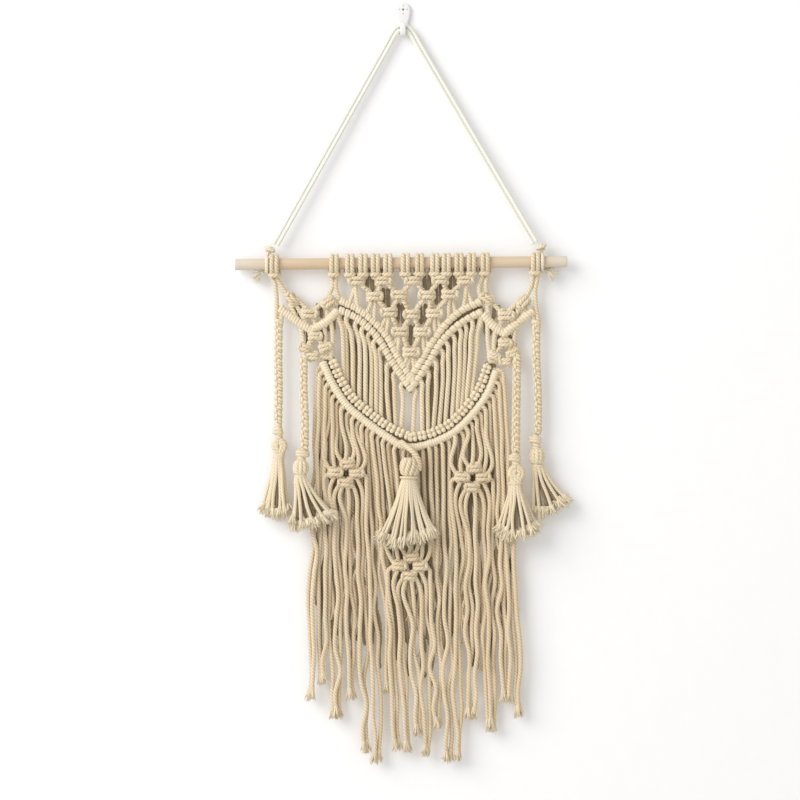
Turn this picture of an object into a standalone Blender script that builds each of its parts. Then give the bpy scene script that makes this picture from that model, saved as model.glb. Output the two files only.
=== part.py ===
"""Macrame wall hanging on a wooden dowel, with its doubled hanging cord and the hook that holds it.

Frame: +Z is up and the wall is the plane y = 0, so the hanging faces -Y. The origin is the middle of
the hook's flat back. The knotted work is laid out with two sizes: `across`, to the right of the
cloth's middle line, and `drop`, down from the dowel's axis. The tables hold them in millimetres.
"""
import math
from collections import namedtuple

import bmesh
import bpy
import numpy as np
from mathutils import Matrix, Vector

MM = 0.001

# ---- driving sizes, in metres ----
CORD = 0.0042               # the cotton cord, flattened a little where it is knotted
GAP = 0.0003                # between pieces that touch
CLOTH_Y = -0.011            # the plane in which the dowel and the cloth hang

DOWEL_LENGTH = 0.350
DOWEL_RADIUS = 0.006
DOWEL_X = -0.0021           # its middle, from the hook
DOWEL_Z = -0.2603           # its axis, at the cloth's middle line
DOWEL_TILT = math.radians(0.5)

CLOTH_X = 0.0079            # the cloth's middle line, from the hook

HOOK_WIDTH = 0.0158
HOOK_FOOT_WIDTH = 0.0086
HOOK_TOP = 0.0154
HOOK_FOOT = -0.0201
HOOK_PLATE = 0.003
HOOK_FINGER_WIDTH = 0.0058
HOOK_FINGER_BACK = -0.0086
HOOK_FINGER_FRONT = -0.0114
HOOK_FINGER_TOP = -0.0070
HOOK_SADDLE = -0.0169

HANGER_RADIUS = 0.0020
LOOP_WIDTH = 0.0088         # two turns side by side on the dowel
LOOP_OUTER = DOWEL_RADIUS + GAP + 0.0041
KNOT_WIDTH = 0.0185
KNOT_HEIGHT = 0.0112
KNOT_DEPTH = 0.0118
BAR_RIDGE = 0.0048          # half the thickness of a bar at a knot
BAR_GROOVE = 0.0037         # and between two knots
PAIR_RIDGE = 0.0043         # the same for the two rows of hitches that run side by side
PAIR_GROOVE = 0.0034
BAND_OFFSET = 0.0103        # from the panel's lowest bar to the fringe's band
FRINGE_HALF = 0.0018        # half a fringe strand's width
FRINGE_LAYER = 0.0024       # how far the two layers of fringe stand from the cloth's plane
FRINGE_FAN = 0.035          # the drop over which the strands fan out from the band
FRINGE_WAIST = 0.92         # the fringe's width there, as a share of its width at the hem
BAR_SIDES = 5
TASSEL_SIDES = 7

# ---- tables, in millimetres: across, and drop below the dowel's axis ----
Knot = namedtuple("Knot", "across drop turn width")
Station = namedtuple("Station", "across drop")
Fall = namedtuple("Fall", "top_across belly_across foot_across")
Tuft = namedtuple("Tuft", "first_across last_across strands drop")
Hank = namedtuple("Hank", "name top_across top_drop neck_across neck_drop forward")
Tassel = namedtuple("Tassel", "name across drop head skirt_left skirt_right hem_drop forward collar")

LOOPS_ACROSS = (-143.5, -80.5, -64, -50, -37, -24, -5.5, 9.5, 25.5, 37.5, 51, 64, 78.5, 131.5)

NET_ROWS = (
    (Station(-56.5, 16), Station(-29, 16), Station(4, 15.5), Station(31.5, 14.5), Station(57.5, 15)),
    (Station(-38, 35), Station(-11, 33.5), Station(17.5, 33.5), Station(41.5, 33)),
    (Station(-22.5, 51.5), Station(1.5, 54), Station(25, 53)),
    (Station(-10.5, 72), Station(12, 72.5)),
    (Station(0.5, 94),),
)
NET_EDGE_LEFT = (-65, -48.5, -33, -18.5, -7)
NET_EDGE_RIGHT = (57, 42, 28, 17, 7)
PAIR_REACH = 4.2            # from a square knot's middle to the middle of each pair of cords

MOTIF_LEFT = (
    Knot(-125, 38.5, 49, 16), Knot(-107, 53.5, 0, 18), Knot(-86, 41.5, -32, 16),
    Knot(-100.5, 77, 0, 15), Knot(-111, 89.5, 22, 14), Knot(-90, 89, -20, 14), Knot(-103, 98.5, 0, 14),
)
MOTIF_RIGHT = (
    Knot(119, 41.5, -49, 16), Knot(100.5, 55.5, 0, 18), Knot(81, 38, 35, 16),
    Knot(99.5, 84.5, 0, 15), Knot(108, 95, -20, 14), Knot(88, 98, 20, 14), Knot(100.5, 104, 0, 14),
)

UPPER_BARS = {
    "left": (Station(-75, 39), Station(-54, 50), Station(-26.5, 75.5), Station(-11.5, 103),
             Station(4, 126)),
    "right": (Station(75, 40), Station(51.5, 51.5), Station(24.5, 81), Station(9, 107),
              Station(-4, 126)),
}
MIDDLE_BARS = {
    "left": (Station(-76, 49), Station(-61, 55.5), Station(-35, 78), Station(-20.5, 102),
             Station(1, 134)),
    "right": (Station(76, 51), Station(59.5, 59), Station(33.5, 81.5), Station(18, 106.5),
              Station(-1, 134)),
}
MOTIF_BARS = (
    (Station(-138.5, 47), Station(-123, 59), Station(-103, 72)),
    (Station(-76.5, 49), Station(-87, 60.5), Station(-105, 71)),
    (Station(130.5, 49.5), Station(115.5, 61), Station(98, 75)),
    (Station(76.5, 53), Station(87, 66), Station(99.5, 75)),
)
LOWER_BARS = {
    "left": (Station(-83.5, 101), Station(-72, 125.5), Station(-59, 144), Station(-41.5, 159),
             Station(-22, 173), Station(2, 184)),
    "right": (Station(82, 106), Station(72, 133), Station(57.5, 153), Station(38.5, 171),
              Station(17.5, 180.5), Station(-2, 184)),
}

FALLS = (
    Fall(-74, -71, -70), Fall(-65.5, -61, -60.5), Fall(-55, -53.5, -54), Fall(-47.5, -47.5, -47.5),
    Fall(-40.5, -41, -41.5), Fall(-34, -36, -36), Fall(-28, -31.5, -31), Fall(-19, -25, -22.5),
    Fall(-13, -17, -15.5), Fall(-5, -8, -9.5), Fall(1, 4, 3), Fall(7, 12, 12.5), Fall(14, 18, 18.5),
    Fall(21, 27, 24.5), Fall(28, 34, 30.5), Fall(34, 40, 37), Fall(41.5, 46.5, 44), Fall(49, 52, 49.5),
    Fall(55, 57, 54), Fall(62.5, 63, 59), Fall(72, 70, 65),
)
MOTIF_STRANDS = (
    (Station(-145.7, 9.8), Station(-140.5, 27), Station(-138.5, 47)),
    (Station(-141.3, 9.8), Station(-136, 25), Station(-128, 35)),
    (Station(-82.7, 9.5), Station(-82, 22), Station(-86.5, 37)),
    (Station(-78.3, 9.5), Station(-79, 22), Station(-74.5, 39)),
    (Station(-122, 42), Station(-113, 58), Station(-110, 66)),
    (Station(-128, 42), Station(-123, 52), Station(-120, 60)),
    (Station(-107, 53), Station(-101, 62), Station(-100, 69)),
    (Station(-118, 40), Station(-107, 50)),
    (Station(-93, 42), Station(-104, 52)),
    (Station(-88, 46), Station(-88, 61)),
    (Station(-117, 64), Station(-114, 76), Station(-112.5, 88)),
    (Station(-104, 72), Station(-103, 78)),
    (Station(-92, 64), Station(-89.5, 76), Station(-89.5, 87)),
    (Station(-84.5, 59), Station(-82, 76), Station(-84, 103)),
    (Station(-104, 80), Station(-110, 89)),
    (Station(-97, 80), Station(-91, 89)),
    (Station(-99, 98), Station(-84, 100.5)),
    (Station(133.7, 8), Station(130, 27), Station(130.5, 49)),
    (Station(129.3, 8), Station(127, 25), Station(121, 38)),
    (Station(80.7, 8), Station(79, 20), Station(80, 33)),
    (Station(76.3, 8), Station(72.5, 24), Station(74.5, 40)),
    (Station(116, 45), Station(107, 66)),
    (Station(122, 46), Station(117, 60)),
    (Station(100.5, 55), Station(95, 63), Station(95, 71)),
    (Station(112, 43), Station(102, 52)),
    (Station(86, 42), Station(97, 53)),
    (Station(80, 42), Station(84, 62)),
    (Station(111, 64), Station(109.5, 80), Station(108.5, 94)),
    (Station(99, 75), Station(101, 85)),
    (Station(90, 68), Station(88, 82), Station(88, 97)),
    (Station(81, 60), Station(81.5, 80), Station(84, 104)),
    (Station(103, 87), Station(108, 95)),
    (Station(96, 87), Station(89, 97)),
    (Station(97, 102.5), Station(82, 104)),
)

TUFTS = (
    Tuft(-108.5, -102.5, 2, 456.5), Tuft(-96.5, -90, 2, 440), Tuft(-84, -72, 3, 475.5),
    Tuft(-66, -59.5, 2, 455.5), Tuft(-50, -45, 2, 511.5), Tuft(-39, -33, 2, 522.5),
    Tuft(-17.5, -12, 2, 509), Tuft(-6, -0.5, 2, 511), Tuft(5, 10, 2, 494), Tuft(15.5, 19.5, 2, 515),
    Tuft(26, 31, 2, 486), Tuft(36.5, 41.5, 2, 521.5), Tuft(47, 52, 2, 518.5),
    Tuft(58.5, 69, 3, 475.5), Tuft(79.5, 90, 3, 489), Tuft(95.5, 106, 3, 458),
    Tuft(111, 115.5, 2, 474),
)
FLOWERS = (Station(-68, 222), Station(65.5, 227), Station(-1, 320))

BRAIDS = (
    Hank("braid_outer_left", -138, 59, -139.5, 166, 0),
    Hank("braid_inner_left", -114.5, 100, -113, 195, 11),
    Hank("braid_inner_right", 114.2, 104.5, 111, 197, 11),
    Hank("braid_outer_right", 132, 60, 134.5, 178, 0),
)
TASSELS = (
    Tassel("tassel_outer_left", -140, 166.5, 17, -157.5, -126.5, 261.5, 0, 2),
    Tassel("tassel_inner_left", -113.5, 195.5, 18, -126.5, -78.5, 277, 12, 1),
    Tassel("tassel_middle", -1.5, 199.5, 19, -34.5, 26, 296, 13, 0),
    Tassel("tassel_inner_right", 110.8, 197.5, 19, 92, 136.5, 289, 12, 1),
    Tassel("tassel_outer_right", 132, 178.5, 15, 133, 164, 261, 0, 2),
)

# The route of each run of the hanging cord, in millimetres: x from the hook, y from the wall, z from
# the hook. They lie side by side, the long one outside.
HANGER_OUTER = (
    (-136.4, -10.6, -240.3), (-113.3, -9.7, -199.0), (-88.9, -8.7, -155.4), (-64.4, -7.8, -111.8),
    (-40.0, -6.8, -68.2), (-18.0, -6.0, -28.9), (-10.7, -5.7, -15.8), (-7.9, -5.7, -12.4),
    (-4.2, -5.7, -10.2), (0.0, -5.7, -9.5), (4.2, -5.7, -10.2), (7.9, -5.7, -12.4),
    (10.6, -5.7, -15.6), (18.2, -6.0, -28.5), (41.0, -6.8, -67.4), (66.3, -7.8, -110.5),
    (91.6, -8.7, -153.6), (116.9, -9.7, -196.7), (141.0, -10.6, -237.8),
)
HANGER_INNER = (
    (-132.4, -10.6, -242.0), (-109.5, -9.7, -201.2), (-85.1, -8.7, -157.5), (-60.7, -7.8, -113.9),
    (-36.3, -6.8, -70.3), (-14.3, -6.0, -31.0), (-7.0, -5.7, -17.9), (-4.6, -5.7, -15.2),
    (-2.1, -5.7, -14.1), (0.0, -5.7, -13.8), (2.1, -5.7, -14.1), (4.6, -5.7, -15.2),
    (6.9, -5.7, -17.8), (14.5, -6.0, -30.7), (37.2, -6.8, -69.6), (62.5, -7.8, -112.8),
    (87.7, -8.7, -155.9), (113.0, -9.7, -199.1), (137.2, -10.6, -240.5),
)
HANGER_STEP = 12.5          # the most between two of the tube's points

# The knot, the turn and the loose tail that hold the hanging cord on the dowel, in millimetres
HangerKnot = namedtuple("HangerKnot", "name turn_x lump_x lump_z tail")
HANGER_KNOTS = (
    HangerKnot("hanger_knot_left", -143.3, -140.2, -246.3,
               ((-144.5, -8.0, -270.5), (-152, -8, -272), (-157, -10, -277), (-159, -11, -284.5))),
    HangerKnot("hanger_knot_right", 146.6, 145.2, -243.8,
               ((147.5, -8.0, -268.2), (154, -8, -269.5), (158, -10, -274), (160, -11, -281.5))),
)


def clear_scene():
    for item in list(bpy.data.objects):
        bpy.data.objects.remove(item, do_unlink=True)


def new_collection(name):
    collection = bpy.data.collections.new(name)
    bpy.context.scene.collection.children.link(collection)
    return collection


def finish(name, colour, roughness):
    """A plain Principled material."""
    material = bpy.data.materials.new(name)
    material.use_nodes = True
    shader = material.node_tree.nodes["Principled BSDF"]
    shader.inputs["Base Color"].default_value = (*colour, 1.0)
    shader.inputs["Roughness"].default_value = roughness
    shader.inputs["Metallic"].default_value = 0.0
    return material


def place(station, depth=0.0):
    """A point of the cloth. depth, in metres, is how far it stands in front of the cloth's plane."""
    return Vector((CLOTH_X + station.across * MM, CLOTH_Y - depth, DOWEL_Z - station.drop * MM))


def curve_through(points, steps):
    """Points on the smooth curve through the given ones, with that number of steps in each span.

    A span is a cubic, and its slope at a point is the mean of the chords on both sides, in which the
    shorter chord weighs more.
    """
    knots = np.array([tuple(p) for p in points], dtype=float)
    spans = np.linalg.norm(np.diff(knots, axis=0), axis=1)[:, None]
    chords = np.diff(knots, axis=0) / spans
    inner = (chords[:-1] * spans[1:] + chords[1:] * spans[:-1]) / (spans[:-1] + spans[1:])
    slopes = np.vstack((chords[:1], inner, chords[-1:]))
    rows = []
    for k, count in enumerate(steps):
        t = np.linspace(0.0, 1.0, count, endpoint=False)[:, None]
        rows.append((2 * t ** 3 - 3 * t ** 2 + 1) * knots[k] + (3 * t ** 2 - 2 * t ** 3) * knots[k + 1]
                    + spans[k] * ((t ** 3 - 2 * t ** 2 + t) * slopes[k]
                                  + (t ** 3 - t ** 2) * slopes[k + 1]))
    return np.vstack(rows + [knots[-1:]])


def smooth(points, count):
    """count evenly spaced points on the smooth curve through the given ones."""
    dense = curve_through(points, [24] * (len(points) - 1))
    length = np.concatenate([[0.0], np.cumsum(np.linalg.norm(np.diff(dense, axis=0), axis=1))])
    wanted = np.linspace(0.0, length[-1], count)
    return [Vector([np.interp(w, length, dense[:, k]) for k in range(3)]) for w in wanted]


def loft(bm, rings):
    """A closed skin over rings that have the same number of points."""
    verts = [[bm.verts.new(p) for p in ring] for ring in rings]
    count = len(verts[0])
    for low, high in zip(verts, verts[1:]):
        for k in range(count):
            bm.faces.new((low[k], low[(k + 1) % count], high[(k + 1) % count], high[k]))
    bm.faces.new(list(reversed(verts[0])))
    bm.faces.new(verts[-1])


def ring(centre, along, half_width, half_depth, sides, turn):
    """Points round a path: half_width in the cloth's plane, half_depth out of it."""
    out = Vector((0.0, -1.0, 0.0))
    side = along.cross(out).normalized()
    out = side.cross(along).normalized()
    angles = [turn + math.tau * k / sides for k in range(sides)]
    return [centre + side * half_width * math.cos(a) + out * half_depth * math.sin(a) for a in angles]


def directions(points):
    steps = [b - a for a, b in zip(points, points[1:])]
    inner = [(a.normalized() + b.normalized()).normalized() for a, b in zip(steps, steps[1:])]
    return [steps[0].normalized()] + inner + [steps[-1].normalized()]


def strand(bm, points, half=CORD / 2, wide=1.0):
    """A four-sided strand along the points, or a flat pair of strands where it is wide."""
    corner = half * math.sqrt(2.0)
    loft(bm, [ring(p, d, corner * wide, corner, 4, math.pi / 4)
              for p, d in zip(points, directions(points))])


def lock(bm, points, half, flare):
    """A three-sided strand, flat in front, that widens by flare at its frayed end."""
    sizes = [half] * (len(points) - 1) + [half * flare]
    loft(bm, [ring(p, d, 1.25 * s, 1.25 * s, 3, math.pi / 6)
              for p, d, s in zip(points, directions(points), sizes)])


def ridged_bar(bm, points, knots, ridge=BAR_RIDGE, groove=BAR_GROOVE):
    """A bar of hitches: one ridge for each knot, with a groove between two."""
    path = smooth(points, 2 * knots + 1)
    sizes = [groove if k % 2 == 0 else ridge for k in range(len(path))]
    loft(bm, [ring(p, d, s, s, BAR_SIDES, math.pi / 2)
              for p, d, s in zip(path, directions(path), sizes)])


def square_knot(bm, centre, turn, width):
    """Two cross bars, one above the other, as one block with a groove between them."""
    half, high, deep = width / 2, KNOT_HEIGHT / 2, KNOT_DEPTH / 2
    outline = ((-0.3 * deep, high), (-deep, 0.5 * high), (-0.68 * deep, 0.0), (-deep, -0.5 * high),
               (-0.3 * deep, -high), (0.85 * deep, -0.7 * high), (0.85 * deep, 0.7 * high))
    tilt = Matrix.Rotation(-turn, 3, "Y")
    rings = []
    for x, scale in ((-half, 0.5), (-0.72 * half, 1.0), (0.72 * half, 1.0), (half, 0.5)):
        rings.append([centre + tilt @ Vector((x, y * scale, z * scale)) for y, z in outline])
    loft(bm, rings)


def flower(bm, centre):
    """Four square knots in a diamond, as one ridged lozenge."""
    levels = ((15.5, 6, 3.4), (12.8, 9.6, 7.4), (10.2, 9.2, 6.2), (7.6, 11, 7.4), (5.0, 15.5, 6.2),
              (2.6, 20, 7.4), (0.0, 17.5, 6.0))
    levels += tuple((-z, w, d) for z, w, d in levels[-2::-1])
    down = Vector((0.0, 0.0, -1.0))
    loft(bm, [ring(centre + Vector((0.0, 0.0, z * MM)), down, w * MM, d * MM, 6, 0.0)
              for z, w, d in levels])


def dowel_point(x, up=0.0):
    """A point on the dowel's axis, or above it."""
    return Vector((x, CLOTH_Y, DOWEL_Z + math.tan(DOWEL_TILT) * (x - CLOTH_X) + up))


def dowel_loop(bm, x, width, sides=8):
    """A turn of cord round the dowel: a collar with a round outside and a clear bore."""
    bore = (DOWEL_RADIUS + GAP) / math.cos(math.pi / sides)
    profile = ((-0.5, bore), (-0.4, LOOP_OUTER), (0.4, LOOP_OUTER), (0.5, bore))
    middle = dowel_point(x)
    tilt = Matrix.Rotation(-DOWEL_TILT, 3, "Y")
    turns = [math.tau * (k + 0.5) / sides for k in range(sides)]
    rows = [[bm.verts.new(middle + tilt @ Vector((u * width, r * math.cos(a), r * math.sin(a))))
             for u, r in profile] for a in turns]
    for low, high in zip(rows, rows[1:] + rows[:1]):
        for k in range(len(profile)):
            after = (k + 1) % len(profile)
            bm.faces.new((low[k], low[after], high[after], high[k]))


def mesh_object(name, bm, collection, material=None):
    bmesh.ops.recalc_face_normals(bm, faces=bm.faces)
    mesh = bpy.data.meshes.new(name)
    bm.to_mesh(mesh)
    bm.free()
    item = bpy.data.objects.new(name, mesh)
    collection.objects.link(item)
    if material:
        mesh.materials.append(material)
    return item


def add_boolean(item, tool, operation):
    """Joins or cuts item with tool, which is kept as a hidden cutter."""
    tool.hide_render = True
    tool.display_type = "WIRE"
    modifier = item.modifiers.new(operation.lower(), "BOOLEAN")
    modifier.operation = operation
    modifier.solver = "EXACT"
    modifier.use_self = True
    modifier.object = tool


def fused(name, base, tool, parts, cutters, material):
    """One body from the pieces in two meshes, whose pieces may all run into each other."""
    item = mesh_object(name, base, parts, material)
    add_boolean(item, mesh_object(name + "_joined", tool, cutters), "UNION")
    return item


def net_strands(bm):
    """The cords, in pairs, from the dowel's loops through the rows of square knots to the bars."""
    loops = LOOPS_ACROSS[2:12]
    for index, knot in enumerate(NET_ROWS[0]):
        for loop, side in zip(loops[2 * index:2 * index + 2], (-PAIR_REACH, PAIR_REACH)):
            pair(bm, Station(loop, 9.2 - math.tan(DOWEL_TILT) * loop),
                 Station(knot.across + side, knot.drop - 1))
    for upper, lower in zip(NET_ROWS, NET_ROWS[1:]):
        for left, right, knot in zip(upper, upper[1:], lower):
            pair(bm, Station(left.across + PAIR_REACH, left.drop + 2),
                 Station(knot.across - PAIR_REACH, knot.drop - 2))
            pair(bm, Station(right.across - PAIR_REACH, right.drop + 2),
                 Station(knot.across + PAIR_REACH, knot.drop - 2))
    for row, left, right in zip(NET_ROWS, NET_EDGE_LEFT, NET_EDGE_RIGHT):
        pair(bm, Station(row[0].across - PAIR_REACH, row[0].drop + 2), bar_station(MIDDLE_BARS, left))
        pair(bm, Station(row[-1].across + PAIR_REACH, row[-1].drop + 2),
             bar_station(MIDDLE_BARS, right))


def pair(bm, start, end):
    strand(bm, [place(start), place(end)], wide=2.0)


def bar_station(bars, across):
    """The place of a pair of bars at one place across."""
    stations = sorted(bars["left" if across < 0 else "right"])
    return Station(across, float(np.interp(across, [s.across for s in stations],
                                           [s.drop for s in stations])))


def make_panel(parts, cutters, cotton):
    """The knotted cloth, from its loops on the dowel to the lowest ridged bar."""
    knots = bmesh.new()
    for row in NET_ROWS:
        for knot in row:
            square_knot(knots, place(knot), 0.0, KNOT_WIDTH)
    for knot in MOTIF_LEFT + MOTIF_RIGHT:
        square_knot(knots, place(knot), math.radians(knot.turn), knot.width * MM)
    for side in ("left", "right"):
        for bars in (UPPER_BARS, MIDDLE_BARS):
            ridged_bar(knots, [place(s) for s in bars[side]], 9, PAIR_RIDGE, PAIR_GROOVE)
        ridged_bar(knots, [place(s) for s in LOWER_BARS[side]], 9)
    for stations in MOTIF_BARS:
        ridged_bar(knots, [place(s) for s in stations], 4)

    strands = bmesh.new()
    for across in LOOPS_ACROSS:
        dowel_loop(strands, CLOTH_X + across * MM, LOOP_WIDTH)
    for across in LOOPS_ACROSS[:2] + LOOPS_ACROSS[-2:]:
        strand(strands, [place(Station(across - 4.9, 12.3), 0.0035),
                         place(Station(across + 4.9, 12.3), 0.0035)])
    net_strands(strands)
    for stations in MOTIF_STRANDS:
        strand(strands, [place(s) for s in stations])
    for fall in FALLS:
        top = place(bar_station(MIDDLE_BARS, fall.top_across))
        foot = place(bar_station(LOWER_BARS, fall.foot_across))
        belly = top.lerp(foot, 0.38)
        belly.x = CLOTH_X + fall.belly_across * MM
        strand(strands, [top, belly, foot])
    return fused("panel", knots, strands, parts, cutters, cotton)


def band_path(count):
    """The fringe's band: the panel's lowest bars, from left to right, moved outwards."""
    stations = LOWER_BARS["left"][:-1] + (Station(0, 184.5),) + LOWER_BARS["right"][-2::-1]
    path = smooth([place(s) for s in stations], count)
    return [p + outward(d) * BAND_OFFSET for p, d in zip(path, directions(path))]


def outward(along):
    """Square to a path that runs from left to right, in the cloth's plane and down."""
    return along.cross(Vector((0.0, -1.0, 0.0))).normalized()


def fringe_strand(bm, root, away, hem, layer):
    """A strand that leaves the band square to it, fans out and hangs straight to its hem."""
    shift = Vector((0.0, -layer, 0.0))
    start = root + away * 0.007
    points = [root + shift, start + shift]
    waist = CLOTH_X + (hem.x - CLOTH_X) * FRINGE_WAIST
    for share in (0.35, 1.2):
        side = waist + (start.x - waist) * math.exp(-share * 1.8)
        points.append(Vector((side, CLOTH_Y - layer, start.z - share * FRINGE_FAN)))
    points.append(Vector((hem.x, CLOTH_Y - layer, hem.z)))
    lock(bm, points, FRINGE_HALF, 1.15)


def make_fringe(parts, cutters, cotton):
    """The band of hitches under the panel with the fringe that hangs from it."""
    hems = []
    for tuft in TUFTS:
        for k in range(tuft.strands):
            share = k / (tuft.strands - 1)
            hems.append(Station(tuft.first_across + share * (tuft.last_across - tuft.first_across),
                                tuft.drop - 1.2 * (k % 2)))
    path = band_path(2 * len(hems) + 1)
    along = directions(path)
    base = bmesh.new()
    loft(base, [ring(p, d, BAR_RIDGE, BAR_RIDGE, 6, 0.0)
                for p, d in list(zip(path, along))[::4] + [(path[-1], along[-1])]])
    for centre in FLOWERS:
        flower(base, place(centre))
    strands = bmesh.new()
    for index, hem in enumerate(hems):
        at = 2 * index + 1
        layer = FRINGE_LAYER if index % 2 else -FRINGE_LAYER
        fringe_strand(strands, path[at], outward(along[at]), place(hem), layer)
    return fused("fringe", base, strands, parts, cutters, cotton)


def make_braid(row, parts, material):
    """A flat plait: its edge swings out at each crossing, left and right by turns."""
    top = place(Station(row.top_across, row.top_drop))
    neck = place(Station(row.neck_across, row.neck_drop), row.forward * MM)
    crossings = round((top - neck).length / CORD)
    bm = bmesh.new()
    rings = []
    for k in range(crossings + 1):
        centre = top.lerp(neck, k / crossings)
        centre.x += 0.0011 * (1 if k % 2 else -1)
        size = 1.0 if k else 0.5
        rings.append(ring(centre, (neck - top).normalized(), 0.0046 * size, 0.0036 * size, 4, 0.0))
    loft(bm, rings)
    return mesh_object(row.name, bm, parts, material)


def make_tassel(row, parts, cutters, material):
    """A bound head with a collar above it and a ring of locks below."""
    base = bmesh.new()
    top = place(Station(row.across, row.drop), row.forward * MM)
    half = row.head / 2 * MM
    down = Vector((0.0, 0.0, -1.0))
    neck = [(0.0, 0.62), (0.004, 0.70), (0.007, 0.60), (0.011, 0.72)] if row.collar else [(0.0, 0.35)]
    if row.collar == 2:
        neck += [(0.014, 0.62), (0.0175, 0.70)]
    below = neck[-1][0]
    head = [(below + 0.003, 0.62), (below + 0.007, 0.95), (below + 0.012, 1.0), (below + 0.018, 0.82),
            (below + 0.0215, 0.80)]
    profile = neck + head
    loft(base, [ring(top + down * z, down, half * w, min(half * w, 0.0068), TASSEL_SIDES, 0.2)
                for z, w in profile])
    foot = top + down * (profile[-1][0] - 0.003)
    middle = (row.skirt_left + row.skirt_right) / 2
    spread = (row.skirt_right - row.skirt_left) / 2 - 3.5
    locks = bmesh.new()
    count = 11
    for k in range(count):
        angle = math.tau * (k + 0.5) / count
        root = foot + Vector((half * 0.55 * math.cos(angle), 0.0040 * math.sin(angle), 0.0))
        hem = place(Station(middle + spread * math.cos(angle),
                            row.hem_drop - 6 * abs(math.cos(angle))), row.forward * MM)
        hem.y += 0.0052 * math.sin(angle)
        belly = root.lerp(hem, 0.45)
        belly.x += 0.12 * (hem.x - root.x)
        lock(locks, [root, belly, hem], 0.0019, 1.25)
    if not row.collar:
        strand(locks, [place(Station(row.across, row.drop - 6), 0.0073), top + down * 0.006])
    return fused(row.name, base, locks, parts, cutters, material)


def make_dowel(parts, material):
    bpy.ops.mesh.primitive_cylinder_add(vertices=24, radius=DOWEL_RADIUS, depth=DOWEL_LENGTH)
    dowel = bpy.context.object
    dowel.name = "dowel"
    dowel.data.name = "dowel"
    dowel.rotation_euler = (0.0, math.pi / 2 - DOWEL_TILT, 0.0)
    dowel.location = dowel_point(DOWEL_X)
    bevel = dowel.modifiers.new("rounded_ends", "BEVEL")
    bevel.width = 0.0006
    bevel.segments = 1
    bevel.limit_method = "ANGLE"
    bevel.angle_limit = math.radians(40)
    dowel.data.materials.append(material)
    for holder in list(dowel.users_collection):
        holder.objects.unlink(dowel)
    parts.objects.link(dowel)
    return dowel


def flat_outline(name, points, thickness, collection):
    """A closed outline in X and Y, as thick as stated and centred on its plane, made a mesh."""
    curve = bpy.data.curves.new(name, "CURVE")
    curve.dimensions = "2D"
    curve.fill_mode = "BOTH"
    curve.extrude = thickness / 2
    line = curve.splines.new("POLY")
    line.points.add(len(points) - 1)
    for point, (x, y) in zip(line.points, points):
        point.co = (x, y, 0.0, 1.0)
    line.use_cyclic_u = True
    item = bpy.data.objects.new(name, curve)
    collection.objects.link(item)
    bpy.context.view_layer.update()
    mesh = bpy.data.meshes.new_from_object(item.evaluated_get(bpy.context.evaluated_depsgraph_get()))
    bm = bmesh.new()
    bm.from_mesh(mesh)
    bmesh.ops.remove_doubles(bm, verts=bm.verts, dist=1e-6)
    bpy.data.objects.remove(item, do_unlink=True)
    bpy.data.meshes.remove(mesh)
    return bm


def make_hook(parts, cutters, material):
    """A pear-shaped plate with a finger that curls forward and up in front of the cord."""
    wide, narrow = HOOK_WIDTH / 2, HOOK_FOOT_WIDTH / 2
    centre = HOOK_TOP - wide
    arc = [(wide * math.cos(a), centre + wide * math.sin(a))
           for a in (math.pi * k / 12 for k in range(13))]
    side = [(-wide * 0.93, centre - 0.005), (-narrow * 1.12, centre - 0.014), (-narrow, HOOK_FOOT + 0.002),
            (-narrow + 0.0015, HOOK_FOOT)]
    outline = arc + side + [(-x, z) for x, z in reversed(side)]
    plate = flat_outline("wall_hook", outline, HOOK_PLATE, parts)
    stand = Matrix.Rotation(math.pi / 2, 4, "X")
    plate.transform(Matrix.Translation((0.0, -HOOK_PLATE / 2, 0.0)) @ stand)
    hook = mesh_object("wall_hook", plate, parts, material)

    back, front, inside = HOOK_FINGER_BACK, HOOK_FINGER_FRONT, -HOOK_PLATE + 0.001
    finger = [(inside, HOOK_SADDLE), (back, HOOK_SADDLE), (back, HOOK_FINGER_TOP - 0.0008),
              ((back + front) / 2, HOOK_FINGER_TOP), (front, HOOK_FINGER_TOP - 0.0012),
              (front - 0.0003, HOOK_SADDLE), (front + 0.0012, HOOK_FOOT + 0.0009),
              (front + 0.0032, HOOK_FOOT + 0.0001), (inside, HOOK_FOOT + 0.0001)]
    bar = flat_outline("hook_finger", finger, HOOK_FINGER_WIDTH, cutters)
    upright = Matrix(((0, 0, 1, 0), (1, 0, 0, 0), (0, 1, 0, 0), (0, 0, 0, 1)))
    bar.transform(upright)
    add_boolean(hook, mesh_object("hook_finger", bar, cutters), "UNION")
    return hook


def make_cord(name, route, parts, material):
    """A round cord through its route, as a curve with a bevel."""
    steps = [math.ceil(math.dist(a, b) / HANGER_STEP) for a, b in zip(route, route[1:])]
    points = curve_through(route, steps) * MM
    curve = bpy.data.curves.new(name, "CURVE")
    curve.dimensions = "3D"
    curve.bevel_depth = HANGER_RADIUS
    curve.bevel_resolution = 2
    curve.use_fill_caps = True
    line = curve.splines.new("POLY")
    line.points.add(len(points) - 1)
    for point, at in zip(line.points, points):
        point.co = (*at, 1.0)
    curve.materials.append(material)
    item = bpy.data.objects.new(name, curve)
    parts.objects.link(item)
    return item


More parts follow.
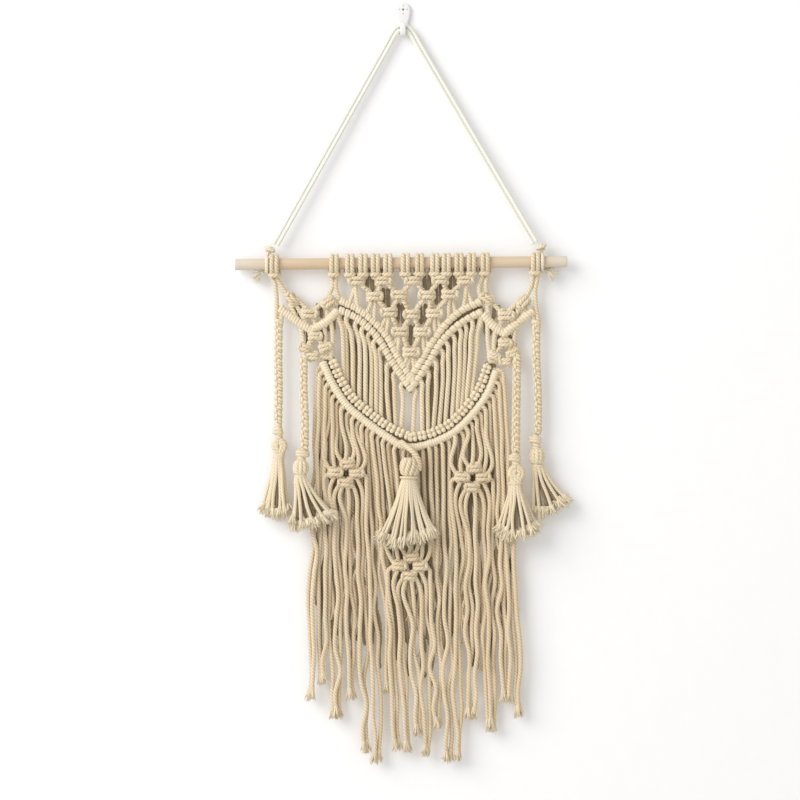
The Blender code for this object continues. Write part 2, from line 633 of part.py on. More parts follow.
def make_hanger_knot(row, parts, cutters, material):
    """A turn round the dowel, the knot above it and the loose tail behind."""
    base = bmesh.new()
    ball = bmesh.ops.create_uvsphere(base, u_segments=10, v_segments=6, radius=1.0)
    size = Matrix.Diagonal((0.0066, 0.0050, 0.0044, 1.0))
    move = Matrix.Translation(Vector((row.lump_x, CLOTH_Y / MM, row.lump_z)) * MM)
    bmesh.ops.transform(base, matrix=move @ size, verts=ball["verts"])
    turn = bmesh.new()
    dowel_loop(turn, row.turn_x * MM, 0.0041)
    top = dowel_point(row.turn_x * MM, LOOP_OUTER - 0.001)
    strand(turn, [top, Vector((row.lump_x * MM * 0.4 + row.turn_x * MM * 0.6, CLOTH_Y, row.lump_z * MM))],
           0.0019)
    lock(turn, [Vector(p) * MM for p in row.tail], 0.0019, 1.6)
    return fused(row.name, base, turn, parts, cutters, material)


def main():
    clear_scene()
    parts = new_collection("macrame_wall_hanging")
    cutters = new_collection("cutters")
    cotton = finish("cotton_cord", (0.72, 0.61, 0.42), 0.9)
    pale = finish("pale_cord", (0.80, 0.76, 0.64), 0.9)
    wood = finish("dowel_wood", (0.74, 0.56, 0.36), 0.6)
    white = finish("hook_plastic", (0.85, 0.85, 0.83), 0.35)

    make_hook(parts, cutters, white)
    make_dowel(parts, wood)
    make_cord("hanging_cord_outer", HANGER_OUTER, parts, pale)
    make_cord("hanging_cord_inner", HANGER_INNER, parts, pale)
    for row in HANGER_KNOTS:
        make_hanger_knot(row, parts, cutters, pale)
    make_panel(parts, cutters, cotton)
    make_fringe(parts, cutters, cotton)
    for row in BRAIDS:
        make_braid(row, parts, cotton)
    for row in TASSELS:
        make_tassel(row, parts, cutters, cotton)


main()
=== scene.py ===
"""Looks of a macrame wall hanging: twisted cotton cord, knotted on a wooden dowel, under a wall hook.

Every piece is laid out in the cloth's own millimetres: across, to the right of the cloth's middle
line, drop, down from the dowel's axis, and depth, out of the cloth's plane towards the viewer.
"""

import logging
import math
from dataclasses import dataclass, field
from enum import Enum
from functools import cache, cached_property
from typing import NamedTuple

import bpy
import numpy as np
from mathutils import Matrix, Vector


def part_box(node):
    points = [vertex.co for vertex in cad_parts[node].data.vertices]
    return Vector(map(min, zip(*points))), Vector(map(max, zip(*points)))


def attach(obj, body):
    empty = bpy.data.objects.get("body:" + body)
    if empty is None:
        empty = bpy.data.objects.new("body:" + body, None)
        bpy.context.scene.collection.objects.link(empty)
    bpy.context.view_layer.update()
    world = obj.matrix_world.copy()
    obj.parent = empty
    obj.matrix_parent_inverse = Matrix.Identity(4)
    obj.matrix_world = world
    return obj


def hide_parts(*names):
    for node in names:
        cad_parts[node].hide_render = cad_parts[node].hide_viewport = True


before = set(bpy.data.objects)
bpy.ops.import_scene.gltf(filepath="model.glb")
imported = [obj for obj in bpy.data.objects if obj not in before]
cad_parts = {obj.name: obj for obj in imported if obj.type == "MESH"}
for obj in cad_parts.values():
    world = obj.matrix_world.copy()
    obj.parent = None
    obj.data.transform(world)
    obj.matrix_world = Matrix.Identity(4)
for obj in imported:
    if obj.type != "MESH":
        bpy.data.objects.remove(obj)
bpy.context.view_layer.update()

LOG = logging.getLogger("macrame")
MM = 0.001

DOWEL_LOW, DOWEL_HIGH = (np.array(corner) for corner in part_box("dowel"))
DOWEL_MIDDLE = (DOWEL_LOW + DOWEL_HIGH) / 2
DOWEL_TILT = math.radians(0.5)
CLOTH_SHIFT = 0.010         # from the dowel's middle to the cloth's middle line
CLOTH_ORIGIN = DOWEL_MIDDLE + np.array((CLOTH_SHIFT, 0.0, math.tan(DOWEL_TILT) * CLOTH_SHIFT))
DOWEL_RADIUS = (DOWEL_HIGH[1] - DOWEL_LOW[1]) / 2 / MM
CORD_RADIUS = 2.55          # of the cotton cord, in millimetres
PITCH = -10.0               # millimetres for one turn of its plies; below 0 they wind to the left
LONG_PITCH = -10.5          # that of the hanging cord and the fringe
HIDDEN = (2.2, 6, 0.85)     # of cords behind others: step in millimetres, points round them, painted shade on their front


class Station(NamedTuple):
    """A place on the cloth, in millimetres."""

    across: float
    drop: float
    depth: float = 0.0


def cloth(points: np.ndarray) -> np.ndarray:
    """Turns across, drop and depth in millimetres into a place in the frame.

    Args:
        points: an array whose last axis holds across, drop and depth.

    Returns:
        The same array as X, Y and Z in metres: X = across, Y = -depth and Z = -drop from the
        cloth's origin on the dowel's axis.
    """
    points = np.asarray(points, dtype=float)
    moved = np.stack((points[..., 0], -points[..., 2], -points[..., 1]), axis=-1)
    return CLOTH_ORIGIN + moved * MM


def unit(vectors: np.ndarray) -> np.ndarray:
    """Each vector divided by its length."""
    return vectors / np.maximum(np.linalg.norm(vectors, axis=-1, keepdims=True), 1e-12)


def spline(points: np.ndarray, count: int) -> np.ndarray:
    """Evenly spaced points on the smooth curve through the given ones.

    A span is a cubic whose slope at each point is the mean of the chords on both sides, in which the
    shorter chord weighs more; the dense curve is then read at equal lengths.

    Args:
        points: the control points, one row each.
        count: how many points to return.

    Returns:
        An array of count rows.
    """
    points = np.asarray(points, dtype=float)
    gaps = np.diff(points, axis=0)
    spans = np.maximum(np.linalg.norm(gaps, axis=1)[:, None], 1e-9)
    chords = gaps / spans
    inner = (chords[:-1] * spans[1:] + chords[1:] * spans[:-1]) / (spans[:-1] + spans[1:])
    slopes = np.vstack((chords[:1], inner, chords[-1:]))[:, None]
    t = np.linspace(0.0, 1.0, 16, endpoint=False)[None, :, None]
    dense = ((2 * t ** 3 - 3 * t ** 2 + 1) * points[:-1, None]
             + (3 * t ** 2 - 2 * t ** 3) * points[1:, None]
             + spans[:, None] * ((t ** 3 - 2 * t ** 2 + t) * slopes[:-1]
                                 + (t ** 3 - t ** 2) * slopes[1:]))
    dense = np.vstack((dense.reshape(-1, points.shape[1]), points[-1:]))
    run = run_of(dense)
    wanted = np.linspace(0.0, run[-1], count)
    return np.stack([np.interp(wanted, run, column) for column in dense.T], axis=1)


def length_of(points: np.ndarray) -> float:
    """The length of the straight runs between the points."""
    return float(np.linalg.norm(np.diff(points, axis=0), axis=1).sum())


def run_of(points: np.ndarray) -> np.ndarray:
    """The length of the straight runs up to each point."""
    return np.concatenate(([0.0], np.cumsum(np.linalg.norm(np.diff(points, axis=0), axis=1))))


def ways_of(path: np.ndarray) -> tuple[np.ndarray, np.ndarray, np.ndarray]:
    """The ways along a path, to its side in the cloth's plane and to its front, at each point.

    Args:
        path: one row for each point.

    Returns:
        The three unit vectors at each point.
    """
    way = unit(np.gradient(path, axis=0))
    side = unit(np.cross(way, (0.0, 0.0, 1.0)))
    return way, side, np.cross(side, way)


def level(stations: tuple) -> np.ndarray:
    """Stations of two or three numbers as rows of across, drop and depth."""
    return np.array([(*station, 0.0)[:3] for station in stations], dtype=float)


def turned(points: np.ndarray, centre: tuple[float, float], degrees: float, size: float,
           mirrored: bool) -> np.ndarray:
    """Places a knot's own points on the cloth.

    Args:
        points: across, drop and depth from the knot's middle.
        centre: the knot's across and drop.
        degrees: clockwise turn in the cloth's plane, as the viewer sees it.
        size: scale of the points.
        mirrored: whether left and right change sides.

    Returns:
        Across' = across cos a - drop sin a and drop' = across sin a + drop cos a, then moved.
    """
    points = np.array(points, dtype=float) * size
    if mirrored:
        points[:, 0] *= -1.0
    angle = math.radians(degrees)
    across = points[:, 0] * math.cos(angle) - points[:, 1] * math.sin(angle)
    drop = points[:, 0] * math.sin(angle) + points[:, 1] * math.cos(angle)
    return np.stack((across + centre[0], drop + centre[1], points[:, 2]), axis=1)


# ------------------------------------------------------------------------------------- materials


class Value:
    """A socket's value in a shader. Arithmetic on it adds Math nodes."""

    def __init__(self, recipe: "Recipe", socket: bpy.types.NodeSocket) -> None:
        """Keeps the socket and the recipe that it belongs to."""
        self.recipe = recipe
        self.socket = socket

    def _math(self, operation: str, *others: "Value | float") -> "Value":
        """One Math node with this value first."""
        values = dict(enumerate((self, *others)))
        return self.recipe.node("ShaderNodeMath", {"operation": operation}, values)

    def __add__(self, other: "Value | float") -> "Value":
        """self + other."""
        return self._math("ADD", other)

    def __mul__(self, other: "Value | float") -> "Value":
        """self * other."""
        return self._math("MULTIPLY", other)

    def __sub__(self, other: "Value | float") -> "Value":
        """self - other."""
        return self._math("SUBTRACT", other)

    def __rsub__(self, other: float) -> "Value":
        """other - self, as -1 * self + other."""
        return self._math("MULTIPLY_ADD", -1.0, other)

    def __pow__(self, power: float) -> "Value":
        """self to a power."""
        return self._math("POWER", power)

    def cosine(self) -> "Value":
        """The cosine of the value, in radians."""
        return self._math("COSINE")

    def clamped(self) -> "Value":
        """The value held between 0 and 1."""
        return self._math("MAXIMUM", 0.0)._math("MINIMUM", 1.0)


class Recipe:
    """The node tree of one material."""

    def __init__(self, name: str) -> None:
        """Makes an empty material with one Principled shader.

        Args:
            name: the material's name.
        """
        self.material = bpy.data.materials.new(name)
        self.material.use_nodes = True
        self.tree = self.material.node_tree
        self.shader = self.tree.nodes["Principled BSDF"]

    def node(self, kind: str, settings: dict | None = None, inputs: dict | None = None,
             output: int | str = 0) -> Value:
        """Adds a node.

        Args:
            kind: the node's type.
            settings: its own settings, set first.
            inputs: a value or a Value for each socket, by name or number.
            output: which of its outputs to return.

        Returns:
            The chosen output.
        """
        node = self.tree.nodes.new(kind)
        for key, value in (settings or {}).items():
            setattr(node, key, value)
        for key, value in (inputs or {}).items():
            self._feed(node.inputs[key], value)
        return Value(self, node.outputs[output])

    def _feed(self, socket: bpy.types.NodeSocket, value: object) -> None:
        """Links a Value to a socket or sets the socket's own value. A colour gets its fourth number.

        Args:
            socket: where it goes.
            value: a Value, a number or a colour of three numbers.
        """
        if isinstance(value, Value):
            self.tree.links.new(value.socket, socket)
        else:
            socket.default_value = (*value, 1.0) if socket.type == "RGBA" else value

    def finish(self, **sockets: object) -> bpy.types.Material:
        """Feeds the Principled shader, whose sockets are named with _ for a space.

        Args:
            sockets: a value or a Value for each socket.

        Returns:
            The finished material.
        """
        for key, value in sockets.items():
            self._feed(self.shader.inputs[key.replace("_", " ")], value)
        return self.material

    def mix(self, share: "Value | float", first: object, second: object) -> Value:
        """Two colours mixed by a share."""
        inputs = {"Factor": share, 6: first, 7: second}
        return self.node("ShaderNodeMix", {"data_type": "RGBA"}, inputs, 2)

    def attribute(self, name: str) -> Value:
        """One of the mesh's own numbers."""
        return self.node("ShaderNodeAttribute", {"attribute_name": name}, output="Fac")

    def noise(self, place: Value | None, scale: float, detail: float = 2.0,
              roughness: float = 0.5) -> Value:
        """Soft noise from 0 to 1, read at a place or, without one, at the surface's own.

        Args:
            place: where it is read.
            scale: its ripples in each unit of the place.
            detail: its finer layers.
            roughness: how strong they are.

        Returns:
            The noise.
        """
        inputs = {"Scale": scale, "Detail": detail, "Roughness": roughness}
        if place is not None:
            inputs["Vector"] = place
        return self.node("ShaderNodeTexNoise", inputs=inputs)

    def bump(self, height: Value, strength: float, distance: float) -> Value:
        """A normal raised by a height."""
        return self.node("ShaderNodeBump", inputs={"Strength": strength, "Distance": distance,
                                                   "Height": height})


@dataclass(frozen=True)
class Cotton:
    """Twisted cotton: three plies with painted shade in the furrows between them, fine fibres, a slow
    change of tone and, on cords behind others, painted shade on the side towards the viewer.
    """

    name: str
    pale: tuple[float, float, float]
    warm: tuple[float, float, float]
    # the darker fibres' colour and the painted shade in the furrows between the plies
    furrow: tuple[float, float, float]
    fibre_bump: float = 0.42
    sheen: float = 0.25
    # painted shade for the side of a cord behind others that faces the viewer
    painted_shade: tuple[float, float, float] = (0.21, 0.15, 0.08)

    def material(self) -> bpy.types.Material:
        """Builds the material. UV holds turns round the cord and centimetres along it.

        Returns:
            The material.
        """
        recipe = Recipe(self.name)
        place = recipe.node("ShaderNodeTexCoord", output="UV")
        solid = recipe.node("ShaderNodeTexCoord", output="Object")
        round_it = recipe.node("ShaderNodeSeparateXYZ", inputs={0: place}, output=0)
        along = recipe.node("ShaderNodeSeparateXYZ", inputs={0: place}, output=1)
        tint, fray, shade = (recipe.attribute(name) for name in ("tint", "fray", "shade"))
        lean = round_it * 1.26 + along * 0.9                # fibres lie across the plies' turn
        strands = recipe.node("ShaderNodeCombineXYZ",
                              inputs={0: lean * 9.0, 1: along * 1.3, 2: tint * 40.0})
        fibres = recipe.noise(strands, 1.6, 3.0, 0.6)
        slow = recipe.noise(solid, 28.0)
        valley = ((round_it * (6 * math.pi)).cosine() * 0.5 + 0.5) ** 2.2 * (1.0 - fray)
        tone = recipe.mix((tint * 0.55 + slow * 0.7 - 0.15).clamped(), self.pale, self.warm)
        streaked = recipe.mix((fibres * 0.9 - 0.33).clamped(), tone, self.furrow)
        # painted shade in the furrows between the plies, on top of their real dip
        groove_shaded = recipe.mix(valley * 0.62, streaked, self.furrow)
        lightened = recipe.mix(fray * 0.35, groove_shaded, self.pale)
        # painted shade: the side of a cord behind others that faces the viewer goes towards dark brown
        shaded = recipe.mix(shade, lightened, self.painted_shade)
        bump = recipe.bump(fibres * 0.55 - valley * 0.3, self.fibre_bump, 0.0004)
        return recipe.finish(Base_Color=shaded, Roughness=0.92, Normal=bump, Sheen_Weight=self.sheen,
                             Sheen_Roughness=0.6, Specular_IOR_Level=0.2)


@dataclass(frozen=True)
class Wood:
    """Pale sanded wood with a fine straight grain along X, greyer towards the rod's ends."""

    name: str = "sanded_wood"
    pale: tuple[float, float, float] = (0.64, 0.495, 0.335)
    grain: tuple[float, float, float] = (0.52, 0.37, 0.24)
    band: tuple[float, float, float] = (0.72, 0.61, 0.48)
    # the paler, greyer tone towards the rod's ends
    end_grey: tuple[float, float, float] = (0.66, 0.60, 0.51)

    def material(self) -> bpy.types.Material:
        """Builds the material. The grain is noise drawn out along X.

        Returns:
            The material.
        """
        recipe = Recipe(self.name)
        solid = recipe.node("ShaderNodeTexCoord", output="Object")
        drawn = recipe.node("ShaderNodeMapping", inputs={0: solid, "Scale": (9.0, 420.0, 420.0)})
        grain = recipe.noise(drawn, 1.0, 5.0, 0.65)
        wide = recipe.node("ShaderNodeMapping", inputs={0: solid, "Scale": (5.0, 60.0, 60.0)})
        bands = recipe.noise(wide, 1.0)
        colour = recipe.mix((grain * 1.3 - 0.35).clamped(), self.pale, self.grain)
        toned = recipe.mix((bands * 1.2 - 0.4).clamped(), colour, self.band)
        across = recipe.node("ShaderNodeSeparateXYZ", inputs={0: solid}, output=0)
        outer = ((across * across - 0.0165) * 90.0).clamped()      # from 0.13 m off the middle
        # paler and greyer towards the ends
        greyed_ends = recipe.mix(outer * 0.8, toned, self.end_grey)
        return recipe.finish(Base_Color=greyed_ends, Roughness=grain * 0.2 + 0.5,
                             Normal=recipe.bump(grain, 0.25, 0.0003))


@dataclass(frozen=True)
class Plastic:
    """White moulded plastic with a faint unevenness."""

    name: str
    colour: tuple[float, float, float]
    roughness: float = 0.35

    def material(self) -> bpy.types.Material:
        """Builds the material.

        Returns:
            The material.
        """
        recipe = Recipe(self.name)
        solid = recipe.node("ShaderNodeTexCoord", output="Object")
        haze = recipe.noise(solid, 240.0)
        colour = recipe.mix(haze * 0.5, self.colour, tuple(0.9 * part for part in self.colour))
        return recipe.finish(Base_Color=colour, Roughness=haze * 0.15 + self.roughness,
                             Normal=recipe.bump(haze, 0.05, 0.0002))


class Finish(Enum):
    """The finishes of the hanging."""

    BODY = Cotton("body_cotton", (0.85, 0.755, 0.57), (0.76, 0.64, 0.44), (0.44, 0.32, 0.18))
    LOW = Cotton("fringe_cotton", (0.815, 0.705, 0.515), (0.725, 0.59, 0.395), (0.43, 0.31, 0.175))
    PALE = Cotton("pale_cotton", (0.83, 0.82, 0.74), (0.80, 0.79, 0.70), (0.76, 0.74, 0.65), sheen=0.6)
    # the hanging cord's pale cotton, painted darker for the shade it lies in by the dowel, for the hanger
    # knots
    PALE_SHADED = Cotton("pale_cotton_shaded", (0.86, 0.80, 0.65), (0.80, 0.71, 0.54), (0.50, 0.40, 0.26))
    WOOD = Wood()
    HOOK = Plastic("white_plastic", (0.80, 0.80, 0.79))
    PIN = Plastic("pin_steel", (0.20, 0.20, 0.21), 0.4)
    STUD = Plastic("stud_plastic", (0.62, 0.61, 0.61), 0.4)


# ---------------------------------------------------------------------------------------- meshes


@dataclass
class Skin:
    """Vertices, quads, UVs and attributes that several surfaces add to before they become a mesh."""

    verts: list[np.ndarray] = field(default_factory=list)
    faces: list[np.ndarray] = field(default_factory=list)
    uvs: list[np.ndarray] = field(default_factory=list)
    tints: list[np.ndarray] = field(default_factory=list)
    frays: list[np.ndarray] = field(default_factory=list)
    shades: list[np.ndarray] = field(default_factory=list)
    count: int = 0

    def sweep(self, paths: np.ndarray, radii: np.ndarray, tints: np.ndarray, sides: int = 9,
              plies: int = 3, dip: float = 0.17, pitch: float = PITCH, fray: float = 0.0,
              shade: float = 0.0) -> None:
        """Adds a twisted cord along each path.

        A ring's point j stands at the angle 2 pi j / sides + 2 pi s / pitch round the path, where s is
        the length up to the ring, so the furrows between the plies are rows of points that wind
        round it. Its distance is the radius times 1 - dip in a furrow. The two ends close to a point.

        Args:
            paths: strands by rings by X, Y and Z, in metres.
            radii: strands by rings, in metres.
            tints: one number from 0 to 1 for each strand.
            sides: points in a ring, a multiple of plies.
            plies: furrows round the cord.
            dip: depth of a furrow as a share of the radius.
            pitch: length of a full turn of the plies, in millimetres; below 0 it winds the other way.
            fray: 1 on loose fibres.
            shade: how dark the side towards the viewer is painted, 0 to 1: painted shade on a cord behind
                others.
        """
        strands, rings = paths.shape[:2]
        along = unit(np.gradient(paths, axis=1))
        normal = np.empty_like(along)
        normal[:, 0] = unit(np.cross(along[:, 0], (0.31, 0.23, 0.92)))
        for k in range(1, rings):
            dot = (normal[:, k - 1] * along[:, k]).sum(axis=1, keepdims=True)
            normal[:, k] = unit(normal[:, k - 1] - dot * along[:, k])
        side = np.cross(along, normal)
        steps = np.linalg.norm(np.diff(paths, axis=1), axis=2)
        run = np.pad(np.cumsum(steps, axis=1), ((0, 0), (1, 0)))
        index = np.arange(sides)
        furrow = (index % max(sides // plies, 1) == 0) if plies else np.zeros(sides, bool)
        profile = np.where(furrow, 1.0 - dip, 1.0)
        start = tints[:, None, None] * 37.0
        angle = 2 * math.pi * (index / sides + run[..., None] / (pitch * MM)) + start
        reach = radii[..., None] * profile
        rim = (reach * np.cos(angle))[..., None] * normal[:, :, None] \
            + (reach * np.sin(angle))[..., None] * side[:, :, None]
        points = paths[:, :, None] + rim
        first = self.count + (np.arange(strands) * (rings * sides + 2))[:, None, None]
        ring_at = np.arange(rings - 1)[None, :, None] * sides
        after = (index + 1) % sides
        a = first + ring_at + index
        b = first + ring_at + after
        quads = np.stack((a, b, b + sides, a + sides), axis=-1).reshape(-1, 4)
        ends = first[:, 0] + rings * sides
        last = first[:, 0] + (rings - 1) * sides
        head = np.stack((np.broadcast_to(ends, (strands, sides)), first[:, 0] + after,
                         first[:, 0] + index, first[:, 0] + index), axis=-1).reshape(-1, 4)
        tail = np.stack((np.broadcast_to(ends + 1, (strands, sides)), last + index,
                         last + after, last + after), axis=-1).reshape(-1, 4)
        block = np.concatenate((points.reshape(strands, -1, 3), paths[:, [0, -1]]), axis=1)
        self.verts.append(block.reshape(-1, 3))
        self.faces.append(np.concatenate((quads, head, tail)))
        low = np.broadcast_to(index / sides, (strands, rings - 1, sides))
        high = low + 1.0 / sides
        near = np.broadcast_to(run[:, :-1, None] * 100.0, low.shape)
        far = np.broadcast_to(run[:, 1:, None] * 100.0, low.shape)
        corners = np.stack((np.stack((low, near), -1), np.stack((high, near), -1),
                            np.stack((high, far), -1), np.stack((low, far), -1)), axis=-2)
        self.uvs.append(corners.reshape(-1, 4, 2))
        cap = np.zeros((2 * strands * sides, 4, 2))
        cap[..., 0] = 0.17          # halfway between two furrows
        self.uvs.append(cap)
        per_strand = block.shape[1]
        self.tints.append(np.repeat(tints, per_strand))
        self.frays.append(np.full(strands * per_strand, fray))
        # painted shade: up to 1 on the side towards the viewer, 0 on the back, half at the ends
        facing = np.clip(0.5 - 1.5 * rim[..., 1] / np.maximum(radii[..., None], 1e-9), 0.0, 1.0)
        ends_half = np.full((strands, 2), 0.5)
        shades = np.concatenate((facing.reshape(strands, -1), ends_half), axis=1)
        self.shades.append(shade * shades.ravel())
        self.count += strands * per_strand

    def grid(self, points: np.ndarray) -> None:
        """Adds a surface given as rows by columns of points, closed round its columns and at its ends.

        Args:
            points: rows by columns by X, Y and Z; the first and last rows close to their middles.
        """
        rows, sides = points.shape[:2]
        index = np.arange(sides)
        after = (index + 1) % sides
        low = self.count + np.arange(rows - 1)[:, None] * sides
        quads = np.stack((low + index, low + after, low + sides + after, low + sides + index),
                         axis=-1).reshape(-1, 4)
        poles = self.count + rows * sides
        last = self.count + (rows - 1) * sides
        head = np.stack((np.full(sides, poles), self.count + after, self.count + index,
                         self.count + index), axis=-1)
        tail = np.stack((np.full(sides, poles + 1), last + index, last + after, last + after), axis=-1)
        middles = np.stack((points[0].mean(axis=0), points[-1].mean(axis=0)))
        self.verts.append(np.concatenate((points.reshape(-1, 3), middles)))
        self.faces.append(np.concatenate((quads, head, tail)))
        total = len(quads) + 2 * sides
        self.uvs.append(np.zeros((total, 4, 2)))
        self.tints.append(np.full(rows * sides + 2, 0.5))
        self.frays.append(np.zeros(rows * sides + 2))
        self.shades.append(np.zeros(rows * sides + 2))
        self.count += rows * sides + 2

    def mesh(self, name: str) -> bpy.types.Mesh:
        """Joins all that was added into one mesh.

        Args:
            name: the mesh's name.

        Returns:
            The mesh, shaded smooth, with its UV map and its attributes tint, fray and shade.
        """
        verts = np.concatenate(self.verts)
        faces = np.concatenate(self.faces)
        uvs = np.concatenate(self.uvs)
        sizes = np.where(faces[:, 2] == faces[:, 3], 3, 4)
        keep = np.ones(faces.shape, bool)
        keep[:, 3] = sizes == 4
        mesh = bpy.data.meshes.new(name)
        mesh.vertices.add(len(verts))
        mesh.vertices.foreach_set("co", verts.ravel().astype(np.float32))
        corners = faces[keep]
        mesh.loops.add(len(corners))
        mesh.loops.foreach_set("vertex_index", corners.astype(np.int32))
        mesh.polygons.add(len(faces))
        starts = np.concatenate(([0], np.cumsum(sizes)[:-1])).astype(np.int32)
        mesh.polygons.foreach_set("loop_start", starts)
        layer = mesh.uv_layers.new(name="UVMap")
        layer.data.foreach_set("uv", uvs[keep].ravel().astype(np.float32))
        for key, parts in (("tint", self.tints), ("fray", self.frays), ("shade", self.shades)):
            attribute = mesh.attributes.new(key, "FLOAT", "POINT")
            attribute.data.foreach_set("value", np.concatenate(parts).astype(np.float32))
        mesh.update(calc_edges=True)
        mesh.validate()
        mesh.shade_smooth()
        return mesh


@dataclass
class Skein:
    """One piece of the hanging, made of many lengths of cord."""

    name: str
    finish: Finish
    slot: str
    nodes: tuple[str, ...]
    seed: int
    step: float = 1.25
    sides: int = 9
    # painted shade on the side towards the viewer, for cords behind others
    shade: float = 0.0
    skin: Skin = field(default_factory=Skin)
    waiting: dict[tuple, list] = field(default_factory=dict)

    def __post_init__(self) -> None:
        """Starts the piece's own run of random numbers."""
        self.random = np.random.default_rng(self.seed)

    def lay(self, points: np.ndarray, radius: float, ends: float = 0.45, dip: float = 0.17,
            pitch: float = PITCH, smooth: float = 0.0, thin: float = 1.0) -> np.ndarray:
        """Adds one length of cord.

        Args:
            points: its control points in the cloth's millimetres.
            radius: in millimetres.
            ends: the radius at both ends as a share of the radius.
            dip: depth of the furrows between its plies.
            pitch: length of one turn of the plies.
            smooth: how far its fibres hide the plies, 0 to 1.
            thin: the radius of its far part as a share of that of its near part.

        Returns:
            The path that the cord follows, in the cloth's millimetres.
        """
        rings = max(4, 4 * math.ceil(length_of(np.asarray(points, float)) / self.step / 4))
        path = spline(points, rings)
        sizes = radius * np.interp(np.linspace(0.0, 1.0, rings), (0.25, 0.45), (1.0, thin))
        sizes[[0, -1]] *= ends
        self.wait(path, sizes, dip, pitch, smooth)
        return path

    def wait(self, path: np.ndarray, sizes: np.ndarray, dip: float, pitch: float, fray: float) -> None:
        """Keeps a path with a random tint until the piece is woven, beside the others of its kind."""
        kind = (len(path), dip, pitch, fray)
        self.waiting.setdefault(kind, []).append((path, sizes, float(self.random.random())))

    def bead(self, middle: np.ndarray, way: np.ndarray, half: float, radius: float) -> None:
        """Adds a short bulge of cord: an ellipsoid whose radius is sqrt(1 - x^2) of the full one.

        Args:
            middle: its middle in the cloth's millimetres.
            way: its long axis.
            half: half of its length.
            radius: its full radius.
        """
        x = np.sin(np.linspace(-1.45, 1.45, 10))
        self.wait(middle + way * (half * x)[:, None], radius * np.sqrt(1.0 - x ** 2), 0.06, PITCH, 0.5)

    def brush(self, tips: np.ndarray, ways: np.ndarray, hairs: int, length: float, spread: float,
              radius: float = 0.8) -> None:
        """Adds loose yarns that fan out of cut ends.

        A yarn starts on a small circle inside the cord's end, goes the cord's way and moves out from
        its middle as the square of the way covered.

        Args:
            tips: one row for each cut end, in the cloth's millimetres.
            ways: the way each end points, as unit vectors.
            hairs: yarns in each end.
            length: of the yarns, in millimetres.
            spread: how far they move out.
            radius: of a yarn.
        """
        tips = np.repeat(tips, hairs, axis=0)
        ways = np.repeat(ways, hairs, axis=0)
        total = len(tips)
        turn = self.random.random(total) * 2 * math.pi
        away = np.sqrt(self.random.random(total))
        across = unit(np.cross(ways, (0.0, 0.0, 1.0)))
        out = np.cross(ways, across)
        sideways = across * np.cos(turn)[:, None] + out * np.sin(turn)[:, None]
        share = np.linspace(0.0, 1.0, 6)[None, :, None]
        reach = (length * (0.7 + 0.4 * self.random.random(total)))[:, None, None]
        start = (CORD_RADIUS * 0.8 * away)[:, None, None]
        swing = (spread * (0.3 + away))[:, None, None]
        path = tips[:, None] + ways[:, None] * reach * share \
            + sideways[:, None] * (start + swing * share ** 2)
        path[..., 0] += self.random.normal(0.0, 0.5, total)[:, None] * share[..., 0] ** 2
        sizes = np.broadcast_to(radius * (1.0 - 0.55 * share[..., 0] ** 2), path.shape[:2])
        self.skin.sweep(cloth(path), sizes * MM, self.random.random(total), sides=4, plies=0,
                        pitch=40.0, fray=1.0)

    def weave(self) -> None:
        """Turns the cords into one object that stands for its CAD nodes."""
        for (_, dip, pitch, fray), rows in self.waiting.items():
            paths, sizes, tints = zip(*rows)
            self.skin.sweep(cloth(np.stack(paths)), np.stack(sizes) * MM, np.array(tints), self.sides,
                            dip=dip, pitch=pitch, fray=fray, shade=self.shade)
        publish(self.name, self.skin, self.finish, self.nodes)


def publish(name: str, skin: Skin, finish: Finish,
            nodes: tuple[str, ...] = ()) -> bpy.types.Object:
    """Args:
        name: the piece's name.
        skin: its surface.
        finish: what it is made of.
        nodes: the CAD nodes that it stands for.

    Returns:
        The object.
    """
    piece = bpy.data.objects.new(name, skin.mesh(name))
    bpy.context.scene.collection.objects.link(piece)
    piece.data.materials.append(material_of(finish))
    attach(piece, "root")
    if nodes:
        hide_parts(*nodes)
    triangles = sum(len(polygon.vertices) - 2 for polygon in piece.data.polygons)
    LOG.info("%s: %d triangles", name, triangles)
    return piece


@cache
def material_of(finish: Finish) -> bpy.types.Material:
    """The finish's material, made when it is first asked for."""
    return finish.value.material()


# ----------------------------------------------------------------------------------------- knots


